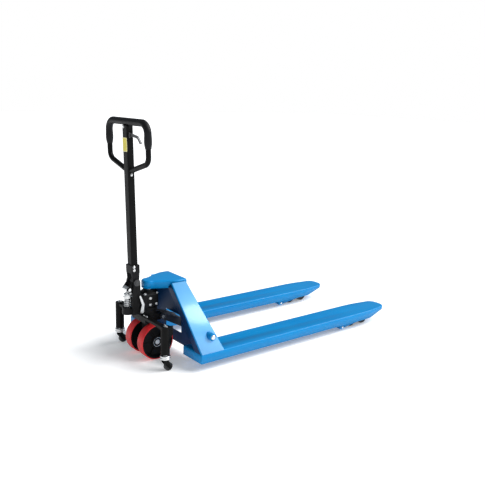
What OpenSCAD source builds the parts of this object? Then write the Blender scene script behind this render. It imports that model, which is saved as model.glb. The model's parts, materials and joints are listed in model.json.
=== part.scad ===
// Hand pallet truck: a welded lifting frame with two forks, a hydraulic pump
// unit that steers and lifts, load rollers in the fork tips and two sprung
// stabiliser castors.  +X is the truck's right side, +Y points to the fork
// tips, +Z is up, and the wheels stand on Z = 0.

/* [Forks] */
// Width across both forks
fork_span = 685; // [560:5:760]
// Width of one fork
fork_w = 160; // [140:5:180]
// Length of the free part of a fork, from the side plate's foot to the tip
fork_len = 1220; // [900:10:1500]
// Height of a fork's top face with the truck lowered
fork_top = 88; // [86:1:96]
// Height of a fork's skirt, from the top face to its lower edge
skirt_h = 46; // [40:1:56]
// Sheet thickness of a fork
fork_t = 4; // [3:0.5:6]
// Radius of the tip's corners, seen from above
nose_r = 50; // [36:2:60]

/* [Lift] */
// Rise of the forks at full lift
lift = 115; // [60:5:120]
// Radius of the lift piston
piston_r = 18; // [14:1:20]
// Outer radius of the lift cylinder
cyl_r = 33; // [28:1:36]

/* [Frame] */
// Height of the head's top face
head_top = 394; // [380:2:420]
// Length of a side plate's foot along the fork
foot_len = 139; // [120:1:150]
// Half width across the top edges of the side plates
plate_top_x = 98; // [92:1:110]
// Sheet thickness of the side plates and the bulkhead
plate_t = 5; // [4:0.5:8]

/* [Steering wheels] */
// Diameter of a steering wheel
wheel_d = 180; // [160:5:184]
// Width of a steering wheel
wheel_w = 50; // [40:1:54]
// Thickness of the wheel's tread
tread_t = 6; // [4:1:16]
// Gap between the two steering wheels
wheel_gap = 66; // [62:1:76]
// Radius of the steering axle
axle_r = 10; // [8:0.5:12]

/* [Load rollers] */
// Diameter of a load roller
roller_d = 78; // [66:1:79]
// Width of a load roller
roller_w = 62; // [50:1:64]
// Distance between the two rollers of a pair
roller_pitch = 98; // [88:1:104]
// Distance from the lever's pivot to the middle of its roller pair
lever_len = 152; // [140:1:160]

/* [Handle] */
// Width of the handle loop, between the centres of its side tubes
loop_w = 362; // [300:2:420]
// Height of the loop's top bar above the floor
handle_h = 1163; // [1000:5:1250]
// Diameter of the loop's tube
tube_d = 25; // [22:1:28]
// Diameter of the rubber grip
grip_d = 34; // [30:1:38]
// Width of the rectangular shaft
shaft_w = 44; // [38:1:46]
// Depth of the rectangular shaft
shaft_d = 34; // [30:1:42]
// Lean of the parked handle towards the operator, in degrees
lean = 1.9; // [0:0.1:6]

/* [Stabiliser] */
// Distance between the centres of the two castor posts
post_span = 448; // [400:2:480]
// Outer diameter of a castor post
post_d = 44; // [38:1:48]
// Height of a castor post's upper end
post_top = 224; // [210:1:228]
// Diameter of a castor wheel
castor_d = 42; // [36:1:46]

/* [Hidden] */
$fn = 48;
run = 0.05;                                  // radial gap of a running fit
gap = 0.5;                                   // gap between faces that move past each other
plate_foot_x = fork_span/2;                  // outer foot line of the side plates
fork_x = (fork_span - fork_w)/2;             // middle of a fork
fork_bottom = fork_top - skirt_h;
tip_y = foot_len + fork_len;
steer_y = -83;                               // steering axis, behind the heel
axle_z = wheel_d/2;
wheel_x = wheel_gap/2 + wheel_w/2;
plunger_y = -203;
housing_r = 27;                              // pump housing
y_low = plunger_y - housing_r;
mid_y = (y_low + tip_y)/2;                   // the origin's place along the truck

// side plates
plate_top_z = head_top - 9;
plate_rise = plate_top_z - fork_top;
plate_run = plate_foot_x - plate_top_x;
plate_tilt = atan(plate_run/plate_rise);
plate_len = sqrt(plate_rise*plate_rise + plate_run*plate_run);
plate_front = -16;                           // front end of a side plate's top edge
plate_rear = 71;                             // rear end of a side plate's top edge
flange_w = 42;
bulk_y = 60;                                 // front face of the bulkhead
head_t = 5;
head_h = 39;

// rocker and its links
shaft_y = 85;
shaft_z = 152;
pin_r = 12;                                  // rocker pins in the side plates
boss_r = 19;
rocker_r = 19;                               // torsion tube
rocker_end = plate_foot_x - plate_t/cos(plate_tilt) - 2
    - (shaft_z + rocker_r - fork_top)*tan(plate_tilt);
pivot_in = rocker_end - 42;                  // inner ends of the rocker pins' bores
drive_t = 8;
link_y = -38;                                // link pins on the carrier
link_half = atan((lift/2)/(shaft_y - link_y));
link_arm = (shaft_y - link_y)/cos(link_half);
link_z = shaft_z + lift/2;
link_r = 8;
arm_x = 50;                                  // inner face of a rocker arm
arm_t = 10;
lug_y = tip_y - 367;                         // load lever pivots
lug_z = 20;
lug_r = 12;
lug_pin_r = 6;
bogie_z = roller_d/2;
lever_flat = sqrt(pow(lever_len, 2) - pow(bogie_z - lug_z, 2));
bogie_y = lug_y + lever_flat;
lever_rest = asin((bogie_z - lug_z)/lever_len);
lever_swing = lever_rest + asin((lift - bogie_z + lug_z)/lever_len);
push_arm = 50;                               // lever pivot to its push pin
push_y = lug_y - push_arm*sin(lever_swing/2);
push_z = lug_z + push_arm*cos(lever_swing/2);
push_r = 6;
rod_travel = 2*push_arm*sin(lever_swing/2);
drive_arm = rod_travel/2/sin(link_half);     // rocker shaft to the rod's rear pin
drive_y = shaft_y - rod_travel/2;
drive_z = shaft_z - drive_arm*cos(link_half);
rod_t = 12;
bogie_t = 5;
bogie_in = roller_w/2 + 3.5;                 // inner face of a bogie plate
lever_t = 5;
lever_x = bogie_in + bogie_t + gap;          // inner face of a lever's side plates
lug_x = lever_x + lever_t + 5;               // inner face of a fork's lug
lug_t = 8;
rod_top = fork_top - fork_t - 11;
rod_h = 20;

// pump unit
block_z = 238;                               // underside of the pump casting
ring_z = 190;                                // underside of the carrier
ring_top = 224;
neck_r = 26;
ring_r = 43;
cyl_top = 344;
piston_foot = 196;
seat_t = 9;
rod_r = 9;                                   // pump plunger
spring_z = 271;
spring_top = 320;
spring_r = 16.5;                             // middle of the wire
wire_r = 2;
spring_turns = 5;
cap_r = 22.5;
cap_top = 348;
dome_r = 30;
pivot_y = -172;                              // handle pivot
pivot_z = 397;
pivot_r = 9;
cheek_t = 8;
cheek_x = shaft_w/2 - 2;                     // inner face of the handle base's cheeks
bracket_x = cheek_x + cheek_t + gap + 1;     // inner face of the bracket's uprights
release_x = bracket_x + cheek_t + 9;         // inner face of the release lever
ear_y = -36;                                 // press roller, from the handle pivot
ear_z = -32;
press_r = 14;

// handle, along its own axis from the pivot
loop_z = handle_h - pivot_z;
loop_low = loop_z - 177;                     // lower corners
vee_z = loop_z - 231;                        // where the V arms leave the shaft
bend_r = 48;                                 // upper corners
low_r = 40;                                  // lower corners
vee_a = atan((loop_low - vee_z)/(loop_w/2));
squeeze_z = loop_z - 60;                     // control lever pivot
lever_bend = 70;                             // control lever, from the shaft to its bend
lever_reach = 96;                            // control lever, from the shaft to its tip

// stabiliser
post_y = -128;
post_foot = 86;
stem_r = 11;                                 // castor stem
collar_r = 25;
collar_low = 62;
castor_trail = 16;
castor_w = 20;
castor_travel = 6;

// ---------- shared shapes ----------

// Moves a piece drawn from the fork heel into the truck's own frame.
module place() translate([0, -mid_y, 0]) children();

// A round bar along X.
module bar_x(r, x1, x2) translate([x1, 0, 0]) rotate([0, 90, 0]) cylinder(r = r, h = x2 - x1);

// A flat plate across X, from an outline drawn in Y and Z.
module plate_x(x1, x2) translate([x1, 0, 0]) rotate([90, 0, 90]) linear_extrude(x2 - x1) children();

// A rectangle with round corners, centred.
module round_rect(w, d, r) {
    square([w - 2*r, d], center = true);
    square([w, d - 2*r], center = true);
    for (x = [-1, 1], y = [-1, 1]) translate([x*(w/2 - r), y*(d/2 - r)]) circle(r);
}

// Two round ends joined by their common tangents.
module link2d(a, ra, b, rb) {
    d = norm(b - a);
    dir = atan2(b[1] - a[1], b[0] - a[0]);
    t = acos((ra - rb)/d);
    translate(a) circle(ra);
    translate(b) circle(rb);
    polygon([a + ra*[cos(dir + t), sin(dir + t)], b + rb*[cos(dir + t), sin(dir + t)],
        b + rb*[cos(dir - t), sin(dir - t)], a + ra*[cos(dir - t), sin(dir - t)]]);
}

// Copies of a piece on the left and the right.
module both() { children(); mirror([1, 0, 0]) children(); }

// A hexagon bolt head with its washer, standing on Z = 0.
module bolt(r, h) {
    cylinder(r = r*1.5, h = h*0.25);
    translate([0, 0, h*0.25]) cylinder(r = r, h = h*0.75, $fn = 6);
}

// ---------- forks and chassis ----------

// A fork seen from above, in from its edge by a margin.
module fork_plan(m) {
    w = fork_w/2 - m;
    n = fork_w/2 - 18 - m;
    c = n - nose_r + m;
    polygon([[-w, foot_len - 1], [w, foot_len - 1], [w, tip_y - 170], [n, tip_y - nose_r],
        [-n, tip_y - nose_r], [-w, tip_y - 170]]);
    for (s = [-1, 1]) translate([s*c, tip_y - nose_r]) circle(nose_r - m, $fn = 64);
    translate([-c, tip_y - nose_r - 1]) square([2*c, nose_r - m + 1]);
}

// The lug that carries a load lever's pivot.
module fork_lug(x1, x2) plate_x(x1, x2) difference() {
    union() {
        translate([lug_y, lug_z]) circle(lug_r);
        polygon([[lug_y - 32, fork_top - fork_t], [lug_y - lug_r, lug_z],
            [lug_y + lug_r, lug_z], [lug_y + lug_r, fork_top - fork_t]]);
    }
    translate([lug_y, lug_z]) circle(lug_pin_r);
}

module fork() {
    slope = [[foot_len, fork_bottom], [tip_y - 152, fork_bottom], [tip_y + 1, fork_top - 12],
        [tip_y + 1, fork_top + 1], [foot_len, fork_top + 1]];
    difference() {
        intersection() {
            translate([0, 0, fork_bottom]) linear_extrude(skirt_h) fork_plan(0);
            plate_x(-fork_w, fork_w) polygon(slope);
        }
        translate([0, 0, fork_bottom - 1]) linear_extrude(skirt_h - fork_t + 1) fork_plan(fork_t);
    }
    for (s = [-1, 1]) fork_lug(s*(lug_x + lug_t/2) - lug_t/2, s*(lug_x + lug_t/2) + lug_t/2);
}

module fork_left() color("dodgerblue") place() translate([-fork_x, 0, 0]) fork();
module fork_right() color("dodgerblue") place() translate([fork_x, 0, 0]) fork();

module fork_lug_pins() color("silver") place() both() for (s = [-1, 1])
    translate([fork_x + s*(lug_x + lug_t/2 - 0.5), lug_y, lug_z]) bar_x(lug_pin_r, -7.5, 7.5);

// The box under a side plate's foot, open in front for the push rod.
module heel() difference() {
    translate([fork_x - fork_w/2, 0, fork_bottom]) cube([fork_w, foot_len, skirt_h]);
    translate([fork_x - fork_w/2 + fork_t, fork_t, fork_bottom - 1])
        cube([fork_w - 2*fork_t, foot_len, skirt_h - fork_t + 1]);
    translate([fork_x - 20, 24, fork_bottom]) cube([40, foot_len - 28, skirt_h + 1]);
}

// Puts a piece on the right side plate: X outwards, Y along, Z up the slope.
module on_plate() translate([plate_foot_x, 0, fork_top]) rotate([0, -plate_tilt, 0]) children();

module side_plate() {
    front_a = atan(-plate_front/plate_len);
    rear_a = atan((foot_len - plate_rear)/plate_len);
    inset = 0.4;                             // keeps a flange's face off the plate's edge
    on_plate() plate_x(-plate_t, 0) polygon([[0, 0], [foot_len, 0], [plate_rear, plate_len],
        [plate_front, plate_len]]);
    difference() {
        on_plate() {
            rotate([front_a, 0, 0]) translate([-flange_w, inset, 0])
                cube([flange_w - 1, plate_t, plate_len]);
            translate([0, foot_len, 0]) rotate([rear_a, 0, 0]) translate([-flange_w, -plate_t - inset, 0])
                cube([flange_w - 1, plate_t, plate_len]);
        }
        translate([0, -50, fork_top - 100]) cube([fork_span, 250, 100]);
        translate([0, -60, head_top - head_h + head_t]) cube([fork_span, 250, 100]);
    }
}

// The head seen from above, in from its edge by a margin.
module head_plan(m) {
    nose = 37;
    translate([0, steer_y]) circle(nose - m, $fn = 64);
    polygon([[-nose + m, steer_y], [nose - m, steer_y], [66 - m, -24], [plate_top_x - 8 - m, 20],
        [plate_top_x - 8 - m, 84 - m], [-plate_top_x + 8 + m, 84 - m], [-plate_top_x + 8 + m, 20],
        [-66 + m, -24]]);
}

module head() translate([0, 0, head_top - head_h]) difference() {
    linear_extrude(head_h) head_plan(0);
    translate([0, 0, -1]) linear_extrude(head_h - head_t + 1) head_plan(head_t);
}

module bulkhead() {
    in = plate_t/cos(plate_tilt);
    low = fork_span/2 - fork_w;
    translate([0, bulk_y + 4, 0]) rotate([90, 0, 0]) linear_extrude(4) difference() {
        polygon([[-low, fork_bottom + 4], [low, fork_bottom + 4], [low, fork_top - 2],
            [plate_foot_x - in, fork_top - 2], [plate_top_x - in, plate_top_z],
            [-plate_top_x + in, plate_top_z], [-plate_foot_x + in, fork_top - 2],
            [-low, fork_top - 2]]);
        translate([0, (shaft_z + link_z)/2 - 30]) square([2*(arm_x + arm_t + 14), 92], center = true);
        for (s = [-1, 1]) translate([s*fork_x - 22, fork_top - 8])
            square([44, shaft_z + rocker_r + 15 - fork_top]);
    }
    translate([-low, bulk_y, fork_bottom + 4]) cube([2*low, 34, 4]);
}

module chassis() color("dodgerblue") place() difference() {
    union() {
        both() { side_plate(); heel(); }
        head();
        bulkhead();
        both() translate([0, shaft_y, shaft_z]) bar_x(boss_r, rocker_end + 5, plate_foot_x - 26);
    }
    both() translate([0, shaft_y, shaft_z]) bar_x(pin_r, fork_x - 20, plate_foot_x);
}

module piston_seat() color("silver") place() translate([0, steer_y, head_top - head_t - seat_t])
    cylinder(r = piston_r + 6, h = seat_t);

module rocker_pivots() color("silver") place() both() translate([0, shaft_y, shaft_z])
    bar_x(pin_r, pivot_in + gap, plate_foot_x - 22);

// ---------- rocker, push rods and load levers ----------

module rocker() color("dimgray") place() difference() {
    union() {
        translate([0, shaft_y, shaft_z]) bar_x(rocker_r, -rocker_end, rocker_end);
        both() plate_x(arm_x, arm_x + arm_t)
            link2d([shaft_y, shaft_z], rocker_r + 4, [link_y, link_z], link_r + 6);
        both() plate_x(fork_x - rod_t/2 - 1.5 - drive_t, fork_x - rod_t/2 - 1.5)
            link2d([shaft_y, shaft_z], rocker_r + 3, [drive_y, drive_z], 13);
    }
    both() translate([0, shaft_y, shaft_z]) bar_x(pin_r + run, pivot_in, rocker_end + 1);
    both() translate([0, drive_y, drive_z]) bar_x(push_r, fork_x - 20, fork_x + 20);
    both() plate_x(arm_x - 1, arm_x + arm_t + 1) {
        u = [-cos(link_half), sin(link_half)];
        slot = link_arm - (shaft_y - link_y) + 2;
        link2d([link_y, link_z] + 2*u, link_r + 2, [link_y, link_z] - slot*u, link_r + 2.01);
    }
}

module rocker_pins() color("silver") place() both() translate([0, drive_y, drive_z]) {
    bar_x(push_r, fork_x - rod_t/2 - drive_t - 5, fork_x + rod_t/2 + 2);
    bar_x(push_r + 3, fork_x + rod_t/2 + 0.5, fork_x + rod_t/2 + 4);
}

// A flat push rod: an eye at the rocker, a crank down into the fork and an
// open notch that catches the lever's push pin.
module push_rod() plate_x(-rod_t/2, rod_t/2) difference() {
    union() {
        link2d([drive_y, drive_z], 13, [drive_y + 26, rod_top - rod_h/2], rod_h/2);
        translate([drive_y + 26, rod_top - rod_h]) square([push_y - drive_y - 26, rod_h]);
        translate([push_y - 16, push_z - 15]) square([32, rod_top - push_z + 15]);
    }
    translate([drive_y, drive_z]) circle(push_r + run);
    translate([push_y - push_r - 1.2, push_z - push_r - 3]) square([2*push_r + 2.4, 40]);
}

module push_rod_left() color("dimgray") place() translate([-fork_x, 0, 0]) push_rod();
module push_rod_right() color("dimgray") place() translate([fork_x, 0, 0]) push_rod();

module load_lever() difference() {
    union() {
        for (s = [-1, 1]) plate_x(s*(lever_x + lever_t/2) - lever_t/2, s*(lever_x + lever_t/2) + lever_t/2)
            link2d([lug_y, lug_z], 14.5, [bogie_y, bogie_z], 14.5);
        translate([0, lug_y, lug_z]) bar_x(13, -lever_x - 1, lever_x + 1);
        for (s = [-1, 1]) plate_x(s*(rod_t/2 + 5) - 3.5, s*(rod_t/2 + 5) + 3.5)
            link2d([lug_y, lug_z], 9, [push_y, push_z], 11);
    }
    translate([0, lug_y, lug_z]) bar_x(lug_pin_r + run, -60, 60);
    translate([0, bogie_y, bogie_z]) bar_x(lug_pin_r, -60, 60);
    translate([0, push_y, push_z]) bar_x(push_r, -30, 30);
}

module load_lever_left() color("dodgerblue") place() translate([-fork_x, 0, 0]) load_lever();
module load_lever_right() color("dodgerblue") place() translate([fork_x, 0, 0]) load_lever();

// The push pin and the two stub pins that carry the bogie.
module lever_pins() {
    translate([0, push_y, push_z]) bar_x(push_r, -16, 16);
    for (s = [-1, 1]) translate([0, bogie_y, bogie_z])
        bar_x(lug_pin_r, s*(lever_x + 2) - 9, s*(lever_x + 2) + 9);
}

module lever_pins_left() color("silver") place() translate([-fork_x, 0, 0]) lever_pins();
module lever_pins_right() color("silver") place() translate([fork_x, 0, 0]) lever_pins();

module bogie() difference() {
    for (s = [-1, 1]) plate_x(s*(bogie_in + bogie_t/2) - bogie_t/2, s*(bogie_in + bogie_t/2) + bogie_t/2)
        translate([bogie_y, bogie_z]) {
            for (e = [-1, 1]) translate([e*roller_pitch/2, 0]) circle(13);
            square([roller_pitch, 26], center = true);
        }
    translate([0, bogie_y, bogie_z]) bar_x(lug_pin_r + run, -60, 60);
    for (e = [-1, 1]) translate([0, bogie_y + e*roller_pitch/2, bogie_z]) bar_x(7, -60, 60);
}

module bogie_left() color("dimgray") place() translate([-fork_x, 0, 0]) bogie();
module bogie_right() color("dimgray") place() translate([fork_x, 0, 0]) bogie();

module roller_axles() for (e = [-1, 1]) translate([0, bogie_y + e*roller_pitch/2, bogie_z])
    bar_x(7, -bogie_in - bogie_t, bogie_in + bogie_t);

module roller_axles_left() color("silver") place() translate([-fork_x, 0, 0]) roller_axles();
module roller_axles_right() color("silver") place() translate([fork_x, 0, 0]) roller_axles();

module load_roller(side, e) color([0.12, 0.12, 0.13]) place()
    translate([side*fork_x, bogie_y + e*roller_pitch/2, bogie_z]) rotate([0, 90, 0])
        rotate_extrude($fn = 72) polygon([[7 + run, -roller_w/2], [roller_d/2 - 2, -roller_w/2],
            [roller_d/2, -roller_w/2 + 2], [roller_d/2, roller_w/2 - 2],
            [roller_d/2 - 2, roller_w/2], [7 + run, roller_w/2]]);

module roller_left_rear() load_roller(-1, -1);
module roller_left_front() load_roller(-1, 1);
module roller_right_rear() load_roller(1, -1);
module roller_right_front() load_roller(1, 1);

// ---------- pump unit, which steers ----------

// Pieces drawn from the steering axis.
module at_steer() place() translate([0, steer_y, 0]) children();

module pump_body() color([0.13, 0.13, 0.14]) at_steer() difference() {
    union() {
        plate_x(-wheel_gap/2 + 5, wheel_gap/2 - 5) {
            translate([0, axle_z]) circle(28);
            translate([-28, axle_z]) square([56, ring_z - 2 - axle_z]);
        }
        translate([0, 0, ring_z - 4]) cylinder(r = neck_r, h = block_z - ring_z + 5);
        translate([0, 0, block_z]) cylinder(r = cyl_r + 7, h = 20);
        translate([0, 0, block_z]) cylinder(r = cyl_r, h = cyl_top - block_z);
        translate([-bracket_x, plunger_y - steer_y, block_z])
            cube([2*bracket_x, steer_y - plunger_y, 28]);
        translate([0, plunger_y - steer_y, block_z]) cylinder(r = housing_r, h = spring_z - block_z);
    }
    translate([0, 0, piston_foot - 6]) cylinder(r = piston_r + run, h = 200);
    translate([0, plunger_y - steer_y, block_z + 3]) cylinder(r = rod_r + run, h = 80);
    translate([0, 0, axle_z]) bar_x(axle_r, -60, 60);
}

module reservoir() color([0.13, 0.13, 0.14]) at_steer() difference() {
    union() {
        translate([0, -14, block_z + 28]) linear_extrude(64) round_rect(92, 92, 16);
        translate([34, -42, block_z + 92]) cylinder(r = 8, h = 5);
    }
    translate([0, 0, block_z]) cylinder(r = cyl_r + 0.3, h = 150);
}

module pump_screws() color("silver") at_steer() {
    for (p = [[-38, -50], [38, 22], [-38, 22]])
        translate([p[0], p[1], block_z + 92]) bolt(5, 6);
    for (z = [12, 44]) translate([46, -20, block_z + 28 + z]) rotate([0, 90, 0]) bolt(5, 6);
    translate([46, 14, block_z + 40]) rotate([0, 90, 0]) bolt(5, 6);
}

module steer_axle() color("silver") at_steer() translate([0, 0, axle_z])
    bar_x(axle_r, -wheel_x - wheel_w/2 + 1, wheel_x + wheel_w/2 - 1);

module lift_piston() color("silver") at_steer() translate([0, 0, piston_foot])
    cylinder(r = piston_r, h = head_top - head_t - seat_t - piston_foot - 0.2);

// The rim and disc of a steering wheel, about its own axle.
module wheel_core(side) color([0.12, 0.12, 0.13]) at_steer() translate([side*wheel_x, 0, axle_z])
    rotate([0, side*90, 0]) rotate_extrude($fn = 96) {
        r = wheel_d/2 - tread_t;
        polygon([[23.5, -wheel_w/2 + 1], [31, -wheel_w/2 + 1], [34, -8], [r - 12, -8],
            [r - 8, -wheel_w/2 + 2], [r, -wheel_w/2 + 2], [r, wheel_w/2 - 2],
            [r - 8, wheel_w/2 - 2], [r - 12, 10], [34, 12], [31, wheel_w/2 - 1],
            [23.5, wheel_w/2 - 1]]);
    }

module wheel_tread(side) color("red") at_steer() translate([side*wheel_x, 0, axle_z])
    rotate([0, side*90, 0]) rotate_extrude($fn = 96) {
        r = wheel_d/2;
        w = wheel_w/2;
        polygon([[r - tread_t, -w + 1], [r - 4, -w], [r, -w + 5], [r, w - 5], [r - 4, w],
            [r - tread_t, w - 1]]);
    }

module wheel_bearings(side) color("silver") at_steer() translate([side*wheel_x, 0, axle_z])
    for (s = [-1, 1]) translate([s*(wheel_w/2 - 8), 0, 0]) rotate([0, 90, 0])
        rotate_extrude($fn = 64) polygon([[axle_r + run, -6], [23.5, -6], [23.5, 6], [axle_r + run, 6]]);

module wheel_core_left() wheel_core(-1);
module wheel_core_right() wheel_core(1);
module wheel_tread_left() wheel_tread(-1);
module wheel_tread_right() wheel_tread(1);
module wheel_bearings_left() wheel_bearings(-1);
module wheel_bearings_right() wheel_bearings(1);

module handle_bracket() color([0.13, 0.13, 0.14]) place() difference() {
    both() plate_x(bracket_x, bracket_x + cheek_t) {
        link2d([pivot_y, pivot_z], 18, [pivot_y - 3, block_z + 46], 22);
        translate([pivot_y - 25, block_z]) square([36, 50]);
    }
    translate([0, pivot_y, pivot_z]) bar_x(pivot_r, -60, 60);
}

module pump_plunger() color("silver") place() translate([0, plunger_y, block_z + 34 - 4])
    cylinder(r = rod_r, h = spring_top - block_z - 30);

module spring_cap() color("silver") place() translate([0, plunger_y, 0]) intersection() {
    translate([0, 0, spring_top]) cylinder(r = cap_r, h = 40);
    translate([0, 0, cap_top - dome_r]) sphere(dome_r, $fn = 64);
}

// A round bar swept along a line: its points, and two unit vectors across it at each point.
module tube(line, u, v, r, sides) {
    last = len(line) - 1;
    points = [for (i = [0:last], k = [0:sides - 1]) let (a = 360*k/sides)
        line[i] + r*(cos(a)*u[i] + sin(a)*v[i])];
    walls = [for (i = [0:last - 1], k = [0:sides - 1]) let (n = (k + 1)%sides)
        [i*sides + k, (i + 1)*sides + k, (i + 1)*sides + n, i*sides + n]];
    polyhedron(points, concat(walls, [[for (k = [0:sides - 1]) k]],
        [[for (k = [sides - 1:-1:0]) last*sides + k]]));
}

// A coil spring between two heights.
module coil(r, wire, z1, z2, turns) {
    steps = turns*16;
    angles = [for (i = [0:steps]) 360*turns*i/steps];
    tube([for (i = [0:steps]) [r*cos(angles[i]), r*sin(angles[i]),
            z1 + wire + (z2 - z1 - 2*wire)*i/steps]],
        [for (a = angles) [cos(a), sin(a), 0]], [for (a = angles) [0, 0, 1]], wire, 8);
}

module pump_spring() color("silver") place() translate([0, plunger_y, 0])
    coil(spring_r, wire_r, spring_z, spring_top, spring_turns);

module release_lever() color("silver") place() plate_x(release_x, release_x + 4) {
    link2d([pivot_y + 20, block_z + 14], 9, [pivot_y + 26, block_z + 48], 7);
    link2d([pivot_y + 26, block_z + 48], 7, [pivot_y + 10, block_z + 92], 4);
}

// ---------- handle ----------

// Pieces drawn from the handle pivot, along the leaning handle.
module on_handle() place() translate([0, pivot_y, pivot_z]) rotate([lean, 0, 0]) children();

module handle_base() color([0.13, 0.13, 0.14]) on_handle() difference() {
    union() {
        both() plate_x(cheek_x, cheek_x + cheek_t) {
            link2d([0, 0], 17, [0, 62], 22);
            link2d([0, 0], 16.5, [ear_y, ear_z], 11);
        }
        translate([-cheek_x - cheek_t, -22, 46]) cube([2*(cheek_x + cheek_t), 44, 40]);
    }
    translate([-shaft_w/2, -shaft_d/2, 56]) cube([shaft_w, shaft_d, 60]);
    bar_x(pivot_r + run, -60, 60);
    translate([0, ear_y, ear_z]) bar_x(5, -60, 60);
}

module handle_pin() color("silver") place() translate([0, pivot_y, pivot_z])
    bar_x(pivot_r, -bracket_x - cheek_t - 3, bracket_x + cheek_t + 3);

module press_roller() color("silver") on_handle() translate([0, ear_y, ear_z])
    rotate([0, 90, 0]) rotate_extrude() polygon([[5 + run, -cheek_x + gap], [press_r, -cheek_x + gap],
        [press_r, cheek_x - gap], [5 + run, cheek_x - gap]]);

module handle_screws() color("silver") on_handle() {
    translate([0, ear_y, ear_z]) bar_x(5, -cheek_x - cheek_t, cheek_x + cheek_t);
    for (z = [62, 78]) translate([cheek_x + cheek_t, -8, z]) rotate([0, 90, 0]) bolt(4.5, 5);
    translate([shaft_w/2, 0, vee_z - 14]) rotate([0, 90, 0]) bolt(4, 4);
    translate([-8, -shaft_d/2, loop_z - 24]) rotate([90, 0, 0]) bolt(4, 4);
}

module handle_shaft() color([0.13, 0.13, 0.14]) on_handle() difference() {
    translate([0, 0, 56]) linear_extrude(loop_z - grip_d/2 - 56) round_rect(shaft_w, shaft_d, 5);
    translate([0, 0, 55]) linear_extrude(loop_z - grip_d/2 - 60) round_rect(shaft_w - 6, shaft_d - 6, 3);
    translate([shaft_w/2 - 4, -5, squeeze_z - 12]) cube([10, 10, 26]);
}

// A bend of a round tube in the loop's plane, with outer radius r and bore ri.
module bend(c, rr, r, ri, a1, a2) translate([c[0], 0, c[1]]) rotate([90, 0, 0])
    rotate([0, 0, a1]) rotate_extrude(angle = a2 - a1) translate([rr, 0]) difference() {
        circle(r);
        circle(ri);
    }

// A straight round tube in the loop's plane.
module straight(a, b, r, ri) translate([a[0], 0, a[1]])
    rotate([0, 90 - atan2(b[1] - a[1], b[0] - a[0]), 0]) linear_extrude(norm(b - a)) difference() {
        circle(r);
        circle(ri);
    }

// The top bar and its two corners, down to a length of each side tube.
module hoop(r, ri, side) {
    w = loop_w/2;
    straight([bend_r - w, loop_z], [w - bend_r, loop_z], r, ri);
    both() {
        bend([w - bend_r, loop_z - bend_r], bend_r, r, ri, 0, 90);
        straight([w, loop_z - bend_r], [w, loop_z - bend_r - side], r, ri);
    }
}

// The points of an arc in the loop's plane.
function arc(c, r, a1, a2) = [for (i = [0:8]) let (a = a1 + (a2 - a1)*i/8) c + r*[cos(a), sin(a)]];

// The middle line of the loop's right half, from the top bar to the shaft.
function loop_line() = let (
    w = loop_w/2,
    low_c = [w - low_r, loop_low + low_r*tan(45 - vee_a/2)],
    foot = low_c + low_r*[sin(vee_a), -cos(vee_a)],
    end_x = shaft_w/2 + tube_d/2*sin(vee_a) + 0.2
) concat(arc([w - bend_r, loop_z - bend_r], bend_r, 90, 0), arc(low_c, low_r, 0, vee_a - 90),
    [[end_x, foot[1] - (foot[0] - end_x)*tan(vee_a)]]);

module handle_loop() color([0.13, 0.13, 0.14]) on_handle() {
    half = loop_line();
    n = len(half);
    line = concat([for (i = [n - 1:-1:0]) [-half[i][0], half[i][1]]], half);
    last = len(line) - 1;
    side = [for (i = [0:last]) let (d = line[min(i + 1, last)] - line[max(i - 1, 0)])
        [-d[1], d[0]]/norm(d)];
    tube([for (p = line) [p[0], 0, p[1]]], [for (s = side) [s[0], 0, s[1]]],
        [for (s = side) [0, 1, 0]], tube_d/2, 16);
}

module handle_grip() color([0.1, 0.1, 0.11]) on_handle() hoop(grip_d/2, tube_d/2 + 0.4, 64);

module label_plate() color("khaki") on_handle()
    translate([-shaft_w/2 + 4, -shaft_d/2 - 0.8, loop_z - 142]) cube([shaft_w - 8, 0.8, 78]);

module control_lever() color([0.2, 0.2, 0.21]) on_handle() rotate([90, 0, 0])
    translate([0, 0, -4]) linear_extrude(8) {
        link2d([shaft_w/2 + 3, squeeze_z], 8, [shaft_w/2 + lever_bend, squeeze_z - 6], 5);
        link2d([shaft_w/2 + lever_bend, squeeze_z - 6], 5, [shaft_w/2 + lever_reach, squeeze_z - 32], 4);
    }

// ---------- carrier and stabiliser ----------

module carrier() color([0.13, 0.13, 0.14]) at_steer() difference() {
    union() {
        translate([0, 0, ring_z]) cylinder(r = ring_r, h = ring_top - ring_z, $fn = 72);
        translate([-ring_r, 0, ring_z]) cube([2*ring_r, link_y - steer_y, ring_top - ring_z]);
        translate([0, link_y - steer_y, link_z]) bar_x(14, -ring_r, ring_r);
        translate([-60, post_y - steer_y - 14, ring_z]) cube([120, 40, 18]);
    }
    translate([0, 0, ring_z - 1]) cylinder(r = neck_r + run, h = 60);
    translate([0, link_y - steer_y, link_z]) bar_x(link_r, -60, 60);
}

module thrust_bearing() color("silver") at_steer() translate([0, 0, ring_top]) difference() {
    cylinder(r = ring_r - 2, h = block_z - ring_top - 0.2);
    translate([0, 0, -1]) cylinder(r = neck_r + 1, h = 30);
}

module link_pin() color("silver") place() translate([0, link_y, link_z])
    bar_x(link_r, -arm_x - arm_t - 4, arm_x + arm_t + 4);

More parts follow.
